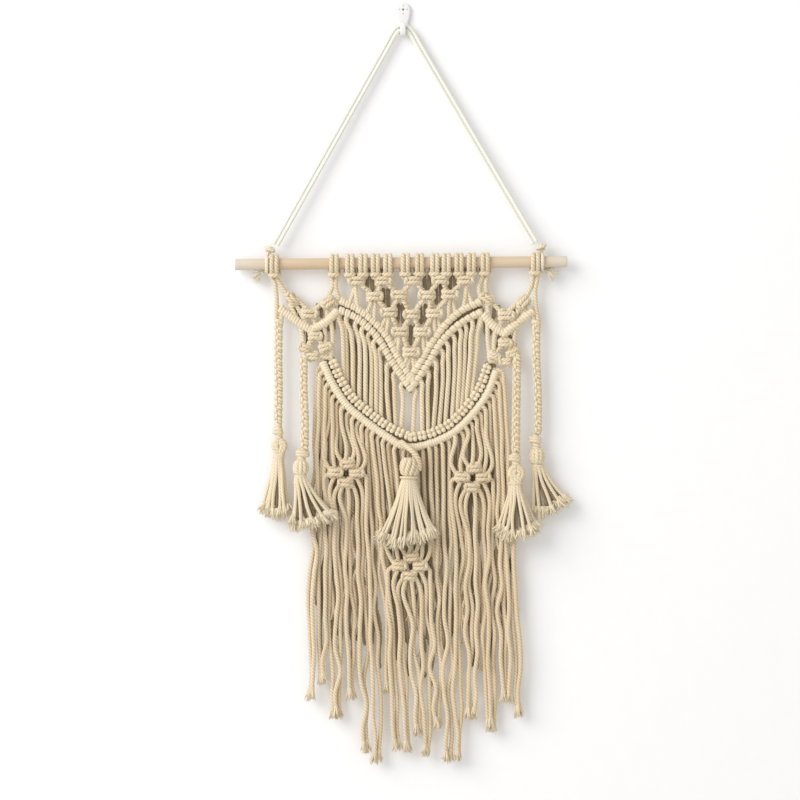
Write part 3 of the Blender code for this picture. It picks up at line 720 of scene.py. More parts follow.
class Knots:
    """The ways in which the cord is knotted, each given by how its cords run."""

    # The two working cords of a square knot from entry to exit: across, drop and depth.
    FIRST = ((-1.8, -6.8, -0.8), (-4.4, -5.2, -0.8), (-6.6, -3.6, 1.4), (-5.0, -2.6, 4.2),
             (0.0, -2.5, 5.2), (4.8, -2.5, 4.4), (7.0, -1.8, 2.0), (7.4, 0.0, 0.0), (7.0, 2.0, 2.0),
             (4.8, 2.6, 4.4), (0.0, 2.6, 5.2), (-5.0, 2.8, 4.2), (-6.8, 3.8, 1.2), (-4.4, 5.2, -0.9),
             (-1.8, 6.8, -0.8))
    SECOND = ((1.8, -6.8, -0.8), (5.2, -5.6, 1.0), (7.8, -3.6, 1.8), (6.2, -1.0, -1.8), (0.5, -1.8, -4.0),
              (-4.6, -3.2, -3.2), (-7.2, -3.7, 0.4), (-8.4, -2.1, 3.8), (-8.8, 0.1, 5.0),
              (-8.4, 2.4, 3.8), (-7.0, 3.8, 0.2), (-4.2, 3.4, -3.2), (0.5, 2.0, -4.0), (6.0, 1.2, -1.8),
              (7.8, 3.5, 1.8), (5.2, 5.6, 0.8), (1.8, 6.8, -0.8))
    FILLERS = (((-1.6, -7.0, -1.6), (-1.9, 0.0, -0.6), (-1.6, 7.0, -1.6)),
               ((1.6, -7.0, -1.6), (1.9, 0.0, -0.6), (1.6, 7.0, -1.6)))
    KNOT_WIDTH = 21.0           # of the points above with their cord

    @classmethod
    def square(cls, skein: Skein, centre: tuple, degrees: float, width: float, mirrored: bool,
               tops: list | None = None, feet: list | None = None, depth: float = 0.0) -> None:
        """Ties one square knot.

        Args:
            skein: the piece that gets it.
            centre: its across and drop.
            degrees: its turn.
            width: its width over all.
            mirrored: whether its upright loop lies at the right.
            tops: where its four cords come from, from left to right; None for short ends.
            feet: where they go, likewise.
            depth: how far it stands in front of the cloth's plane.
        """
        size = width / cls.KNOT_WIDTH
        for index, points in enumerate((cls.FIRST, *cls.FILLERS, cls.SECOND)):
            loose = np.array(points) + skein.random.normal(0.0, 0.22, (len(points), 3))
            route = turned(loose, centre[:2], degrees, size, mirrored) + (0.0, 0.0, depth)
            place = 3 - index if mirrored else index
            if tops is not None:
                route = np.vstack((tops[place], route[1:]))
            if feet is not None:
                route = np.vstack((route[:-1], feet[place]))
            skein.lay(route, CORD_RADIUS * size ** 0.5, ends=0.9)

    @staticmethod
    def hitches(skein: Skein, stations: np.ndarray, knots: int, half: float, cord: float, bead: float,
                gap: float) -> None:
        """Ties a row of double hitches round a holding cord.

        Each hitch is a coil of two turns round the path: out from its middle by half - cord, sideways
        as the cosine and to the front as the sine of the turn, and along it by its share of the pitch.

        Args:
            skein: the piece that gets them.
            stations: points of the holding cord, across, drop and depth.
            knots: how many hitches.
            half: half of the bar's thickness.
            cord: radius of the working cord.
            bead: radius of the two bulges at the front of each turn, or 0 for plain turns.
            gap: space between two hitches as a share of the pitch.
        """
        path = spline(stations, 8 * knots + 1)
        way, side, front = ways_of(path)
        skein.lay(path[::4], cord)
        index = np.arange(len(path))
        pitch = length_of(path) / knots
        turn = np.linspace(-0.5, 1.5, 45) * 2 * math.pi
        for knot in range(knots):
            share = (knot + 0.5 + (1.0 - gap) * (turn / (2 * math.pi) - 0.5) / 2) / knots
            at = np.clip(share, 0.0, 1.0) * index[-1]
            centre, along, across, out = (
                np.stack([np.interp(at, index, column) for column in rows.T], axis=1)
                for rows in (path, way, side, front))
            reach = half - cord - (1.2 if bead else 0.0) + skein.random.normal(0.0, 0.1)
            shift = skein.random.normal(0.0, 0.12) * pitch / 7.0
            points = centre + across * (reach * np.cos(turn))[:, None] \
                + out * (reach * np.sin(turn))[:, None] + along * shift
            skein.lay(points, cord, dip=0.08, smooth=0.55)
            for front_at in (np.argmin(np.abs(turn / (2 * math.pi) - x)) for x in (0.25, 1.25)):
                for sign in (-1.0, 1.0) if bead else ():
                    middle = centre[front_at] + across[front_at] * sign * (half * 0.49) \
                        + out[front_at] * (half - bead + 0.4) + skein.random.normal(0.0, 0.12, 3)
                    skein.bead(middle, across[front_at], half * 0.53, bead)

    @staticmethod
    def plait(skein: Skein, stations: np.ndarray, pitch: float, half: float, cord: float) -> None:
        """Plaits three cords along a path.

        Cord k swings sideways as the sine of 2 pi s / pitch + 2 pi k / 3 and in and out as the sine of
        twice that.

        Args:
            skein: the piece that gets it.
            stations: points of the path.
            pitch: length in which a cord comes back to its side.
            half: half of the plait's width.
            cord: radius of each cord.
        """
        path = spline(stations, max(8, round(length_of(np.asarray(stations, float)) / 1.5)))
        _, side, front = ways_of(path)
        for k in range(3):
            turn = 2 * math.pi * (run_of(path) / pitch + k / 3)
            points = path + side * ((half - cord) * np.sin(turn))[:, None] \
                + front * (1.7 * np.sin(2 * turn))[:, None]
            skein.lay(points, cord, dip=0.2)

    @staticmethod
    def coil(skein: Skein, stations: np.ndarray, pitch: float, half: float, cord: float,
             lean: float) -> None:
        """Winds a cord closely round a path, as a long run of hitches drawn tight.

        The coil moves out by half - cord, as the cosine of its turn sideways and the sine to the front.

        Args:
            skein: the piece that gets it.
            stations: points of the path.
            pitch: length between two turns.
            half: half of the thickness over all.
            cord: radius of the cord.
            lean: how far each turn leans along the path.
        """
        turns = round(length_of(spline(stations, 200)) / pitch)
        path = spline(stations, 14 * turns + 1)
        way, side, front = ways_of(path)
        angle = 2 * math.pi * turns * np.linspace(0.0, 1.0, len(path))
        wobble = 1.0 + 0.05 * np.interp(np.linspace(0, turns, len(path)), np.arange(turns + 1),
                                        skein.random.normal(0.0, 1.0, turns + 1))
        reach = (half - cord) * wobble
        points = path + side * (reach * np.cos(angle))[:, None] \
            + front * (reach * np.sin(angle))[:, None] + way * (lean * np.cos(angle))[:, None]
        skein.lay(points, cord, dip=0.05, ends=0.6, smooth=0.8)

    @staticmethod
    def wrap(skein: Skein, centre: Station, half: float, turns: int, height: float,
             cord: float = 1.8, tilt: float = 1.2, depth: float = 0.62, top: float = 1.0) -> None:
        """Winds a cord round an upright bundle.

        The coil is an ellipse round the bundle that comes down and widens evenly and leans to one side.

        Args:
            skein: the piece that gets it.
            centre: the middle of its highest turn.
            half: half of its width over all at the foot.
            turns: how often it goes round.
            height: how far it comes down.
            cord: radius of the cord.
            tilt: how much lower it is at the right than at the left.
            depth: its thickness out of the plane as a share of its width.
            top: its width at the top as a share of that at the foot.
        """
        turn = np.linspace(0.0, turns * 2 * math.pi, int(18 * turns) + 1) - math.pi / 2
        share = np.linspace(0.0, 1.0, len(turn))
        wide = half * (top + (1.0 - top) * share)
        points = np.stack((centre.across + (wide - cord) * np.cos(turn),
                           centre.drop + height * share + tilt * np.cos(turn),
                           centre.depth + (wide * depth - 0.4 * cord) * np.sin(turn)), axis=1)
        skein.lay(points, cord, dip=0.1, smooth=0.3)


# ------------------------------------------------------------------------------------ the pieces


@dataclass(frozen=True)
class Dowel:
    """The wooden rod: a straight round bar with slightly rounded ends."""

    sides: int = 48
    rounding: float = 0.9

    def build(self) -> None:
        """A circle of points at each of a few places along the axis, smaller at the two ends."""
        low, high = DOWEL_LOW[0] / MM, DOWEL_HIGH[0] / MM
        bend = np.linspace(0.0, math.pi / 2, 6)
        places = np.concatenate(([low, low], low + self.rounding * (1 - np.cos(bend)),
                                 np.linspace(low + 4, high - 4, 24),
                                 (high - self.rounding * (1 - np.cos(bend)))[::-1], [high, high]))
        radii = np.concatenate(([0.4, DOWEL_RADIUS - self.rounding],
                                DOWEL_RADIUS - self.rounding * (1 - np.sin(bend)),
                                np.full(24, DOWEL_RADIUS),
                                (DOWEL_RADIUS - self.rounding * (1 - np.sin(bend)))[::-1],
                                [DOWEL_RADIUS - self.rounding, 0.4]))
        angle = 2 * math.pi * np.arange(self.sides) / self.sides
        middle = DOWEL_MIDDLE / MM
        rise = math.tan(DOWEL_TILT) * (places - middle[0])
        points = np.stack(np.broadcast_arrays(
            places[:, None], middle[1] + radii[:, None] * np.cos(angle),
            middle[2] + rise[:, None] + radii[:, None] * np.sin(angle)), axis=-1)
        skin = Skin()
        skin.grid(points * MM)
        publish("dowel_rod", skin, Finish.WOOD, ("dowel",))


@dataclass(frozen=True)
class WallHook:
    """The small hook: a pear-shaped plate, a finger that curls up and the heads of its pins."""

    width: float = 15.8
    foot_width: float = 8.6
    top: float = 15.4
    foot: float = -20.1
    finger_width: float = 5.8
    finger_half: float = 1.45       # half of its thickness
    finger_front: float = -10.0     # the middle of its upright part
    finger_top: float = -7.0
    saddle: float = -16.9           # where the cord lies
    pins: tuple = ((0.0, 12.2, 0.85), (0.0, 8.0, 1.15), (0.0, 3.9, 0.85), (-4.2, 8.2, 0.85),
                   (4.2, 8.2, 0.85))

    def outline(self) -> np.ndarray:
        """The plate's edge: half a circle above, narrowing to a rounded foot.

        Returns:
            X and Z of its points, in millimetres from the hook's middle.
        """
        wide, narrow = self.width / 2, self.foot_width / 2
        centre = self.top - wide
        arc = np.linspace(0.0, math.pi, 25)
        upper = np.stack((wide * np.cos(arc), centre + wide * np.sin(arc)), axis=1)
        left = np.array(((-wide * 0.95, centre - 5.0), (-narrow * 1.25, centre - 14.0),
                         (-narrow * 1.02, self.foot + 3.2), (-narrow * 0.8, self.foot + 0.9),
                         (-narrow * 0.4, self.foot), (0.0, self.foot)))
        right = left[-2::-1] * (-1.0, 1.0)
        return spline(np.vstack((upper, left, right, upper[:1])), 73)[:-1]

    def plate_points(self) -> np.ndarray:
        """Rows of the outline, drawn in towards its middle by each level's share.

        Returns:
            Rows by columns by X, Y and Z, in millimetres.
        """
        ring = self.outline()
        middle = np.array((0.0, 3.0))
        levels = ((0.02, 0.0), (0.97, 0.0), (1.0, 0.4), (1.0, 1.9), (0.975, 2.5), (0.93, 2.85),
                  (0.86, 3.0), (0.5, 3.05), (0.02, 3.1))
        rows = [np.stack(((ring[:, 0] - middle[0]) * share + middle[0], np.full(len(ring), -height),
                          (ring[:, 1] - middle[1]) * share + middle[1]), axis=1)
                for share, height in levels]
        return np.stack(rows)

    def finger_points(self) -> np.ndarray:
        """A rounded bar swept along the finger: out of the plate, down under the cord and up.

        Returns:
            Rows by columns by X, Y and Z, in millimetres.
        """
        low = self.saddle - 1.6
        front = self.finger_front
        path = spline(np.array(((0.0, -1.5, low), (0.0, -5.0, low - 0.3), (0.0, -8.8, low + 0.1),
                                (0.0, front, self.saddle + 1.8), (0.0, front + 0.1, self.saddle + 5.5),
                                (0.0, front + 0.1, self.finger_top))), 30)
        angle = 2 * math.pi * np.arange(24) / 24
        square = np.stack((np.sign(np.cos(angle)) * np.abs(np.cos(angle)) ** 0.6,
                           np.sign(np.sin(angle)) * np.abs(np.sin(angle)) ** 0.6), axis=1)
        way = unit(np.gradient(path, axis=0))
        across = np.array((1.0, 0.0, 0.0))
        out = np.cross(way, across)
        taper = np.sqrt(np.clip((np.arange(30)[::-1] + 0.35) / 4.0, 0.0, 1.0))
        half_wide = self.finger_width / 2 * taper
        half_thick = self.finger_half * taper
        return path[:, None] + (half_wide[:, None] * square[:, 0])[..., None] * across \
            + (half_thick[:, None] * square[:, 1])[..., None] * out[:, None]

    def build(self) -> None:
        """Builds the hook and the heads of its pins."""
        skin = Skin()
        skin.grid(self.plate_points()[:, ::-1] * MM)
        skin.grid(self.finger_points() * MM)
        pin, studs = Skin(), Skin()
        angle = 2 * math.pi * np.arange(16) / 16
        for x, z, size in self.pins:
            levels = ((0.3, 1.0), (3.2, 1.0), (3.45, 0.7), (3.55, 0.2))
            rows = [np.stack((x + size * share * np.cos(angle), np.full(16, -height),
                              z + size * share * np.sin(angle)), axis=1) for height, share in levels]
            (pin if size > 1.0 else studs).grid(np.stack(rows)[:, ::-1] * MM)
        publish("hook_body", skin, Finish.HOOK, ("wall_hook",))
        publish("hook_pin", pin, Finish.PIN)
        publish("hook_studs", studs, Finish.STUD)


@dataclass(frozen=True)
class HangingCord:
    """One run of the hanging cord, from one end of the dowel over the hook to the other.

    Its route is in millimetres from the hook, and is the same as the CAD model's.
    """

    name: str
    length: float
    tint: float
    route: tuple

    def build(self) -> None:
        points = np.array(self.route) * MM
        path = spline(points, round(self.length / 0.0013))
        skin = Skin()
        skin.sweep(path[None], np.full((1, len(path)), 2.0 * MM), np.array((self.tint,)), dip=0.12,
                   pitch=LONG_PITCH)
        piece = publish(self.name + "_strand", skin, Finish.PALE, (self.name,))


@dataclass(frozen=True)
class HangerKnot:
    """The end of the hanging cord: a turn round the dowel, a small knot above it and a frayed tail.

    All of it is in millimetres from the hook.
    """

    name: str
    turn_x: float
    lump: tuple
    tail: tuple
    side: int
    radius: float = 8.1         # of the turn's middle round the dowel's axis
    lean: float = 0.7           # how far the turn moves along the dowel
    overhand: tuple = ((-5.0, -2.5, -1.4), (-1.5, -4.2, -0.6), (2.6, -3.4, 1.0), (4.6, -0.5, 2.0),
                       (2.4, 2.6, 1.4), (-1.4, 3.0, -0.8), (-4.0, 0.6, -1.6), (-2.4, -2.2, 1.2),
                       (1.4, -2.6, 2.4), (3.2, 0.4, -1.4), (0.6, 1.6, -2.4), (-3.6, -0.8, -0.4))

    def build(self) -> None:
        """Builds the knot from its cords: the turn, the overhand knot, the neck and the tail."""
        # the pale cord, painted darker for shade
        skein = Skein(self.name + "_cord", Finish.PALE_SHADED, "pale_cord", (self.name,), seed=31 + self.side)
        shift = CLOTH_ORIGIN / MM

        def place(x: float, y: float, z: float) -> tuple[float, float, float]:
            """A point from the hook as across, drop and depth."""
            return (x - shift[0], shift[2] - z, shift[1] - y)

        axis = shift[2] + math.tan(DOWEL_TILT) * (self.turn_x - shift[0])
        lump_x, lump_z = self.lump
        turn = np.linspace(-0.25, 1.2, 22) * 2 * math.pi
        ring = [place(self.turn_x + self.lean * (k / 21 - 0.5), shift[1] - self.radius * math.cos(a),
                      axis + self.radius * math.sin(a)) for k, a in enumerate(turn)]
        skein.lay(np.array(ring), 1.85, pitch=LONG_PITCH)
        knot = [place(lump_x + self.side * x, shift[1] + y, lump_z + z) for x, y, z in self.overhand]
        skein.lay(np.array(knot), 1.75, pitch=LONG_PITCH)
        neck = [place(self.turn_x, shift[1], axis + 8.4), place(lump_x, shift[1] + 1.0, lump_z + 1.0)]
        skein.lay(np.array(neck), 1.8, pitch=LONG_PITCH)
        tail = [place(self.turn_x, shift[1] + 5.5, axis - 6.5), *(place(*point) for point in self.tail)]
        path = skein.lay(np.array(tail), 1.75, pitch=LONG_PITCH, ends=0.8)
        start = path[[len(path) // 2, -1]]
        way = unit(np.array(((self.side * 1.0, 0.35, 0.1), (self.side * 0.8, 0.8, 0.1))))
        skein.brush(start, way, hairs=26, length=10.0, spread=4.4, radius=0.6)
        skein.weave()


@dataclass(frozen=True)
class LarksHead:
    """How two working cords hang on the dowel: two turns in front and a bar of the same cord below."""

    across: float
    half: float = 2.5
    reach: float = 8.5
    bar: float = 12.0

    def side(self, sign: int, route: tuple) -> list[tuple[float, float, float]]:
        """The cord from one foot up to the middle of the bar.

        Args:
            sign: -1 for the left cord and 1 for the right one.
            route: its places below the bar, from the bar down.

        Returns:
            Across, drop and depth of its points, from the foot up.
        """
        drop = -math.tan(DOWEL_TILT) * self.across
        reach, half = self.reach, self.half
        slant = 0.7 * reach
        points = ((half, 14.6, -0.2), (half, 11.9, 0.6), (half, 8.4, 4.6), (half, 4.4, 7.3),
                  (half, 0.0, reach), (half, -slant, slant), (half, -reach, 0.0),
                  (half + 0.2, -slant, -slant), (half + 0.8, 0.0, -reach), (half + 1.5, 6.4, -5.6),
                  (half + 2.0, 10.7, -0.8), (half + 1.2, self.bar, 3.9))
        feet = [(*station, 0.0)[:3] for station in reversed(route)]
        return feet + [(self.across + sign * x, drop + z, depth) for x, z, depth in points]

    def tie(self, skein: Skein, left: tuple, right: tuple) -> None:
        """Lays the whole cord, from the left foot to the right one.

        Args:
            skein: the piece that gets it.
            left: places of the left cord below the bar, from the bar down.
            right: those of the right cord.
        """
        drop = -math.tan(DOWEL_TILT) * self.across
        middle = [(self.across, drop + self.bar, 5.2)]
        points = self.side(-1, left) + middle + self.side(1, right)[::-1]
        skein.lay(np.array(points, dtype=float), CORD_RADIUS)


@dataclass(frozen=True)
class Bar:
    """A row of double hitches along a line of stations."""

    stations: tuple
    knots: int
    half: float = 4.7
    bead: float = 0.0
    gap: float = 0.14
    cord: float = 2.2

    def points(self) -> np.ndarray:
        """The stations with a depth of nothing."""
        return level(self.stations)

    def tie(self, skein: Skein) -> None:
        """Ties the row."""
        Knots.hitches(skein, self.points(), self.knots, self.half, self.cord, self.bead, self.gap)

    def at(self, across: float) -> tuple[np.ndarray, np.ndarray]:
        """The place on the bar's line at one across, and the way square to it that points down.

        Args:
            across: where on the bar.

        Returns:
            The place and the way, each as across and drop.
        """
        path = spline(self.points(), 200)[:, :2]
        nearest = int(np.argmin(np.abs(path[:, 0] - across)))
        way = unit(path[min(nearest + 3, 199)] - path[max(nearest - 3, 0)])
        down = np.array((-way[1], way[0]))
        return path[nearest], down * (1.0 if down[1] > 0 else -1.0)


def back_cords(name: str, seed: int, holes: tuple, length: float = 11.0) -> None:
    """Two upright cords side by side behind each hole of the panel, whose side towards the viewer is
    painted in shade so that the hole reads dark.

    Args:
        name: the piece's name.
        seed: of its random numbers.
        holes: across and drop of each hole's middle.
        length: how far the cords go up and down from there.
    """
    skein = Skein(name, Finish.BODY, "cotton_cord", ("panel",), seed, *HIDDEN)
    for x, z in holes:
        for side in (-2.5, 2.5):
            lean = skein.random.normal(0.0, 0.5)
            skein.lay(np.array(((x + side - lean, z - length, -4.2), (x + side, z, -4.8),
                                (x + side + lean, z + length, -4.2))), CORD_RADIUS)
    skein.weave()


@dataclass
class Net:
    """The middle of the panel: cords on the dowel and square knots in alternate rows."""

    upper: dict
    loops: tuple = (-64.0, -50.0, -37.0, -24.0, -5.5, 9.5, 25.5, 37.5, 51.0, 64.0)
    rows: tuple = (
        ((-56.5, 18.6), (-29, 18.6), (3, 18.2), (31.5, 17.6), (57.5, 17.8)),
        ((-38, 35), (-11, 33.5), (17.5, 33.5), (41.5, 33)),
        ((-22.5, 51.5), (1.5, 54), (25, 53)),
        ((-10.5, 72), (12, 72.5)),
        ((0.5, 94),),
    )
    left_feet: tuple = ((-64.5, -55.5), (-47.0, -38.5), (-31.5, -26.0), (-19.0, -14.5), (-8.0, -4.0))
    right_feet: tuple = ((56.0, 65.0), (40.0, 48.0), (26.5, 32.0), (15.0, 19.0), (4.5, 8.0))
    holes: tuple = ((-43, 19.5), (17.2, 18.5), (44.5, 18), (-26, 37), (29.5, 33), (-10.5, 53),
                    (13.2, 53.5), (2.5, 76))  # those with cords behind, whose side towards the viewer is painted in shade
    width: float = 18.8         # of its knots
    reach: float = 1.8          # how far beside a knot's middle its pairs of cords leave it
    spacing: float = 0.8        # of a pair's cords from the pair's middle

    def halfway(self, upper: tuple, lower: tuple, side: int) -> list[np.ndarray]:
        """Where the pair of cords between two knots is halfway.

        Args:
            upper: the upper knot's station.
            lower: the lower knot's station.
            side: 1 where the cords leave the upper knot's right side, -1 for its left side.

        Returns:
            The left and the right cord's place, side by side across the pair's way.
        """
        start = np.array((upper[0] + side * self.reach, upper[1] + 6.2))
        end = np.array((lower[0] - side * self.reach, lower[1] - 6.2))
        way = unit(end - start)
        across = np.array((-way[1], way[0])) * self.spacing
        middle = (start + end) / 2
        return [np.array((*(middle + across * sign), 0.6 + 2.1 * sign * side)) for sign in (1, -1)]

    def build(self) -> None:
        """Ties every knot with its four cords, each from halfway above to halfway below."""
        skein = Skein("net_cords", Finish.BODY, "cotton_cord", ("panel",), seed=11)
        for index, across in enumerate(self.loops):
            knot = self.rows[0][index // 2]
            left, right = ((knot[0] + x, knot[1] - 2.6, -0.6)
                           for x in ((2.0, 6.4) if index % 2 else (-6.4, -2.0)))
            LarksHead(across).tie(skein, (left,), (right,))
        for r, row in enumerate(self.rows):
            for c, knot in enumerate(row):
                tops = None
                if r:
                    above = self.rows[r - 1]
                    tops = self.halfway(above[c], knot, 1) + self.halfway(above[c + 1], knot, -1)
                if c:
                    left = self.halfway(knot, self.rows[r + 1][c - 1], -1)
                else:
                    left = self.bar_feet(self.upper["left"], self.left_feet[r])
                if c < len(row) - 1:
                    right = self.halfway(knot, self.rows[r + 1][c], 1)
                else:
                    right = self.bar_feet(self.upper["right"], self.right_feet[r])
                Knots.square(skein, knot, 0.0, self.width, (r + c) % 3 == 1, tops, left + right)
        back_cords("net_inner", 15, self.holes)
        skein.weave()

    @staticmethod
    def bar_feet(bar: Bar, places: tuple) -> list[np.ndarray]:
        """Where a pair of cords reaches the bar below it."""
        return [np.array((*bar.at(across)[0], 1.0)) for across in places]


@dataclass(frozen=True)
class Knot:
    """One square knot: its place, its clockwise turn in degrees and its width."""

    across: float
    drop: float
    turn: float
    width: float


@dataclass
class Motif:
    """The small figure of seven square knots at one side, with its bars and its cords."""

    name: str
    seed: int
    heads: tuple
    knots: tuple
    bars: tuple
    strands: tuple
    holes: tuple

    def build(self) -> None:
        """Ties the figure."""
        back_cords(self.name + "_inner", self.seed + 5, self.holes, 8.0)
        skein = Skein(self.name, Finish.BODY, "cotton_cord", ("panel",), self.seed)
        for across, left, right in self.heads:
            LarksHead(across).tie(skein, left, right)
        for index, knot in enumerate(self.knots):
            Knots.square(skein, (knot.across, knot.drop), knot.turn, knot.width + 0.8, index % 2 == 1)
        for stations in self.bars:
            Bar(stations, round(length_of(level(stations)) / 6.4), 5.0, gap=0.04).tie(skein)
        for stations in self.strands:
            points = level(stations)
            points[:, 2] -= 0.4
            skein.lay(points, CORD_RADIUS)
        skein.weave()


@dataclass(frozen=True)
class Fall:
    """A cord that hangs free inside the V: where it leaves, where it swings out and where it ends."""

    top: float
    belly: float
    foot: float


@dataclass
class Falls:
    """The cords between the V of bars and the lowest bars."""

    tops: dict
    feet: dict
    bare: float = 15.0          # half of the width in the middle that has no cords behind
    carriers: int = 30          # short cords behind each bar, their side towards the viewer painted in shade
    next_row: float = 9.0       # from a bar's middle to the next row's
    rows: tuple = (
        Fall(-74, -71, -70), Fall(-65.5, -61, -60.5), Fall(-55, -53.5, -54), Fall(-47.5, -47.5, -47.5),
        Fall(-40.5, -41, -41.5), Fall(-34, -36, -36), Fall(-28, -31.5, -31), Fall(-19, -25, -22.5),
        Fall(-13, -17, -15.5), Fall(-5, -8, -9.5), Fall(1, 4, 3), Fall(7, 12, 12.5), Fall(14, 18, 18.5),
        Fall(21, 27, 24.5), Fall(28, 34, 30.5), Fall(34, 40, 37), Fall(41.5, 46.5, 44),
        Fall(49, 52, 49.5), Fall(55, 57, 54), Fall(62.5, 63, 59), Fall(72, 70, 65),
    )

    def build(self) -> None:
        """Lays each cord square out of its bar, then down behind the lowest bar."""
        skein = Skein("fall_cords", Finish.BODY, "cotton_cord", ("panel",), seed=13)
        for index, fall in enumerate(self.rows):
            top, out = self.tops["left" if fall.top < 0 else "right"].at(fall.top)
            foot, _ = self.feet["left" if fall.foot < 0 else "right"].at(fall.foot)
            depth = 0.9 if index % 2 else -0.5
            start = top + out * 5.9
            height = foot[1] - start[1]
            points = [(*top, -0.4), (*start, depth),
                      (fall.belly * 0.75 + start[0] * 0.25, start[1] + height * 0.17, depth + 0.4),
                      (fall.belly, start[1] + height * 0.38, depth),
                      (fall.belly * 0.45 + fall.foot * 0.55, start[1] + height * 0.68, depth),
                      (fall.foot, foot[1] - 6.0, -1.4), (fall.foot, foot[1], -2.6)]
            skein.lay(np.array(points), CORD_RADIUS)
            if index in (0, len(self.rows) - 1):        # the outermost ones have another cord beside them
                inward = 1.0 if index == 0 else -1.0
                moves = ((1.5 * inward, 1.0, -1.5),) * 2 + ((3.3 * inward, 1.0, -1.6),) * 5
                skein.lay(np.array(points) + np.array(moves), CORD_RADIUS)
        # cords behind the gaps between the falls, and short ones behind the bars, with painted shade on
        # their side towards the viewer
        inner = Skein("fall_inner", Finish.BODY, "cotton_cord", ("panel",), 14, *HIDDEN)
        for first, second in zip(self.rows, self.rows[1:]):
            top_at, foot_at = (first.top + second.top) / 2, (first.foot + second.foot) / 2
            if abs(foot_at) < self.bare:
                continue
            top, out = self.tops["left" if top_at < 0 else "right"].at(top_at)
            foot, _ = self.feet["left" if foot_at < 0 else "right"].at(foot_at)
            start = top + out * 4.0
            middle = ((first.belly + second.belly) / 2, start[1] * 0.6 + foot[1] * 0.4, -5.0)
            inner.lay(np.array(((*top, -3.0), (*start, -4.8), middle, (*foot, -4.6))), CORD_RADIUS + 0.1)
        self.carry(inner, self.feet, self.next_row)
        self.carry(inner, self.tops, -self.next_row)
        inner.weave()
        skein.weave()

    def carry(self, skein: Skein, bars: dict, reach: float) -> None:
        """Lays short cords side by side behind bars, each down (or up) to the next row.

        Args:
            skein: the piece that gets them.
            bars: the bars that they start from.
            reach: how far down the next row's middle is.
        """
        for bar in bars.values():
            for across in spline(bar.points(), self.carriers)[:, 0]:
                foot, down = bar.at(across)
                start, middle, end = (foot + down * reach * share for share in (-0.39, 0.44, 1.0))
                skein.lay(np.array(((*start, -3.4), (*middle, -4.6), (*end, -3.6))), CORD_RADIUS)


@dataclass(frozen=True)
class Tuft:
    """Neighbouring strands of the fringe that end together."""

    first: float
    last: float
    strands: int
    drop: float

    def side(self, index: int) -> float:
        """How far a strand stands from the tuft's middle, counted in strands."""
        return index - (self.strands - 1) / 2

    def end(self, index: int, gather: float) -> tuple[float, float]:
        """Across and drop of a strand's end, drawn in towards the tuft's middle."""
        spacing = (self.last - self.first) / max(self.strands - 1, 1) * gather
        return (self.first + self.last) / 2 + self.side(index) * spacing, self.drop - 1.6 * (index % 2)


@dataclass(frozen=True)
class Flower:
    """Four square knots in a diamond, tied in the fringe, with the cords above and below them.

    The knots' places and each cord's stations are counted from the flower's middle.
    """

    across: float
    drop: float
    knots: tuple = ((2.1, -10.2), (-11.2, -1.2), (11.0, -0.8), (-0.4, 9.6))
    width: float = 16.6
    front: float = 3.0
    clear: float = 44.0
    above: tuple = (
        ((-22.3, -14), (-17, -4)), ((-12.6, -11), (-11, -3)), ((-9.2, -21), (-4, -12)),
        ((0.6, -23), (-0.5, -13)), ((8.2, -20), (5, -12)), ((12.4, -10), (9.5, -3)),
        ((19.4, -10), (15, -3)),
    )
    below: tuple = (
        ((-17, -1), (-22.6, 4), (-23.0, 12)), ((-12, 3), (-16.2, 12)), ((-6, 10), (-11.2, 19)),
        ((-2.5, 11), (-6.3, 21)), ((1.5, 11), (3, 22)), ((5.5, 10), (9.6, 18)), ((11, 4), (15.8, 14)),
        ((16, -1), (20.9, 3), (21.7, 12)),
    )

    def tie(self, skein: Skein) -> None:
        """Ties the four knots.

        Args:
            skein: the piece that gets them.
        """
        for index, (x, z) in enumerate(self.knots):
            Knots.square(skein, (self.across + x, self.drop + z), (-6, 3, -3, 5)[index], self.width,
                         index in (1, 2), depth=self.front)

    def thread(self, routes: list[np.ndarray]) -> dict[int, list[np.ndarray]]:
        """Leads the nearest cords of the fringe into the flower and out of it.

        Args:
            routes: the control points of every cord.

        Returns:
            For the number of each cord that it takes, the parts that replace it.
        """
        at = np.array([np.interp(self.drop, route[:, 1], route[:, 0]) for route in routes])
        nearest = np.argsort(np.abs(at - self.across))[:len(self.below)]
        parts = {}
        for number in nearest:
            behind = routes[number].copy()
            behind[:, 2] -= 5.5 * np.exp(-((behind[:, 1] - self.drop) / 30.0) ** 2)
            parts[int(number)] = [behind[behind[:, 1] < self.drop + 8.0]]
        for rows, sign in ((self.above, -1), (self.below, 1)):
            chosen = sorted(nearest[:len(rows)], key=lambda number: at[number])
            for number, row in zip(chosen, rows):
                stations = level(row) + (self.across, self.drop, self.front - 0.4)
                route = routes[number]
                far = route[(route[:, 1] - self.drop) * sign > self.clear]
                if sign < 0:
                    parts[int(number)][0] = np.vstack((far, stations))
                else:
                    parts[int(number)].append(np.vstack((stations, far)))
        return parts


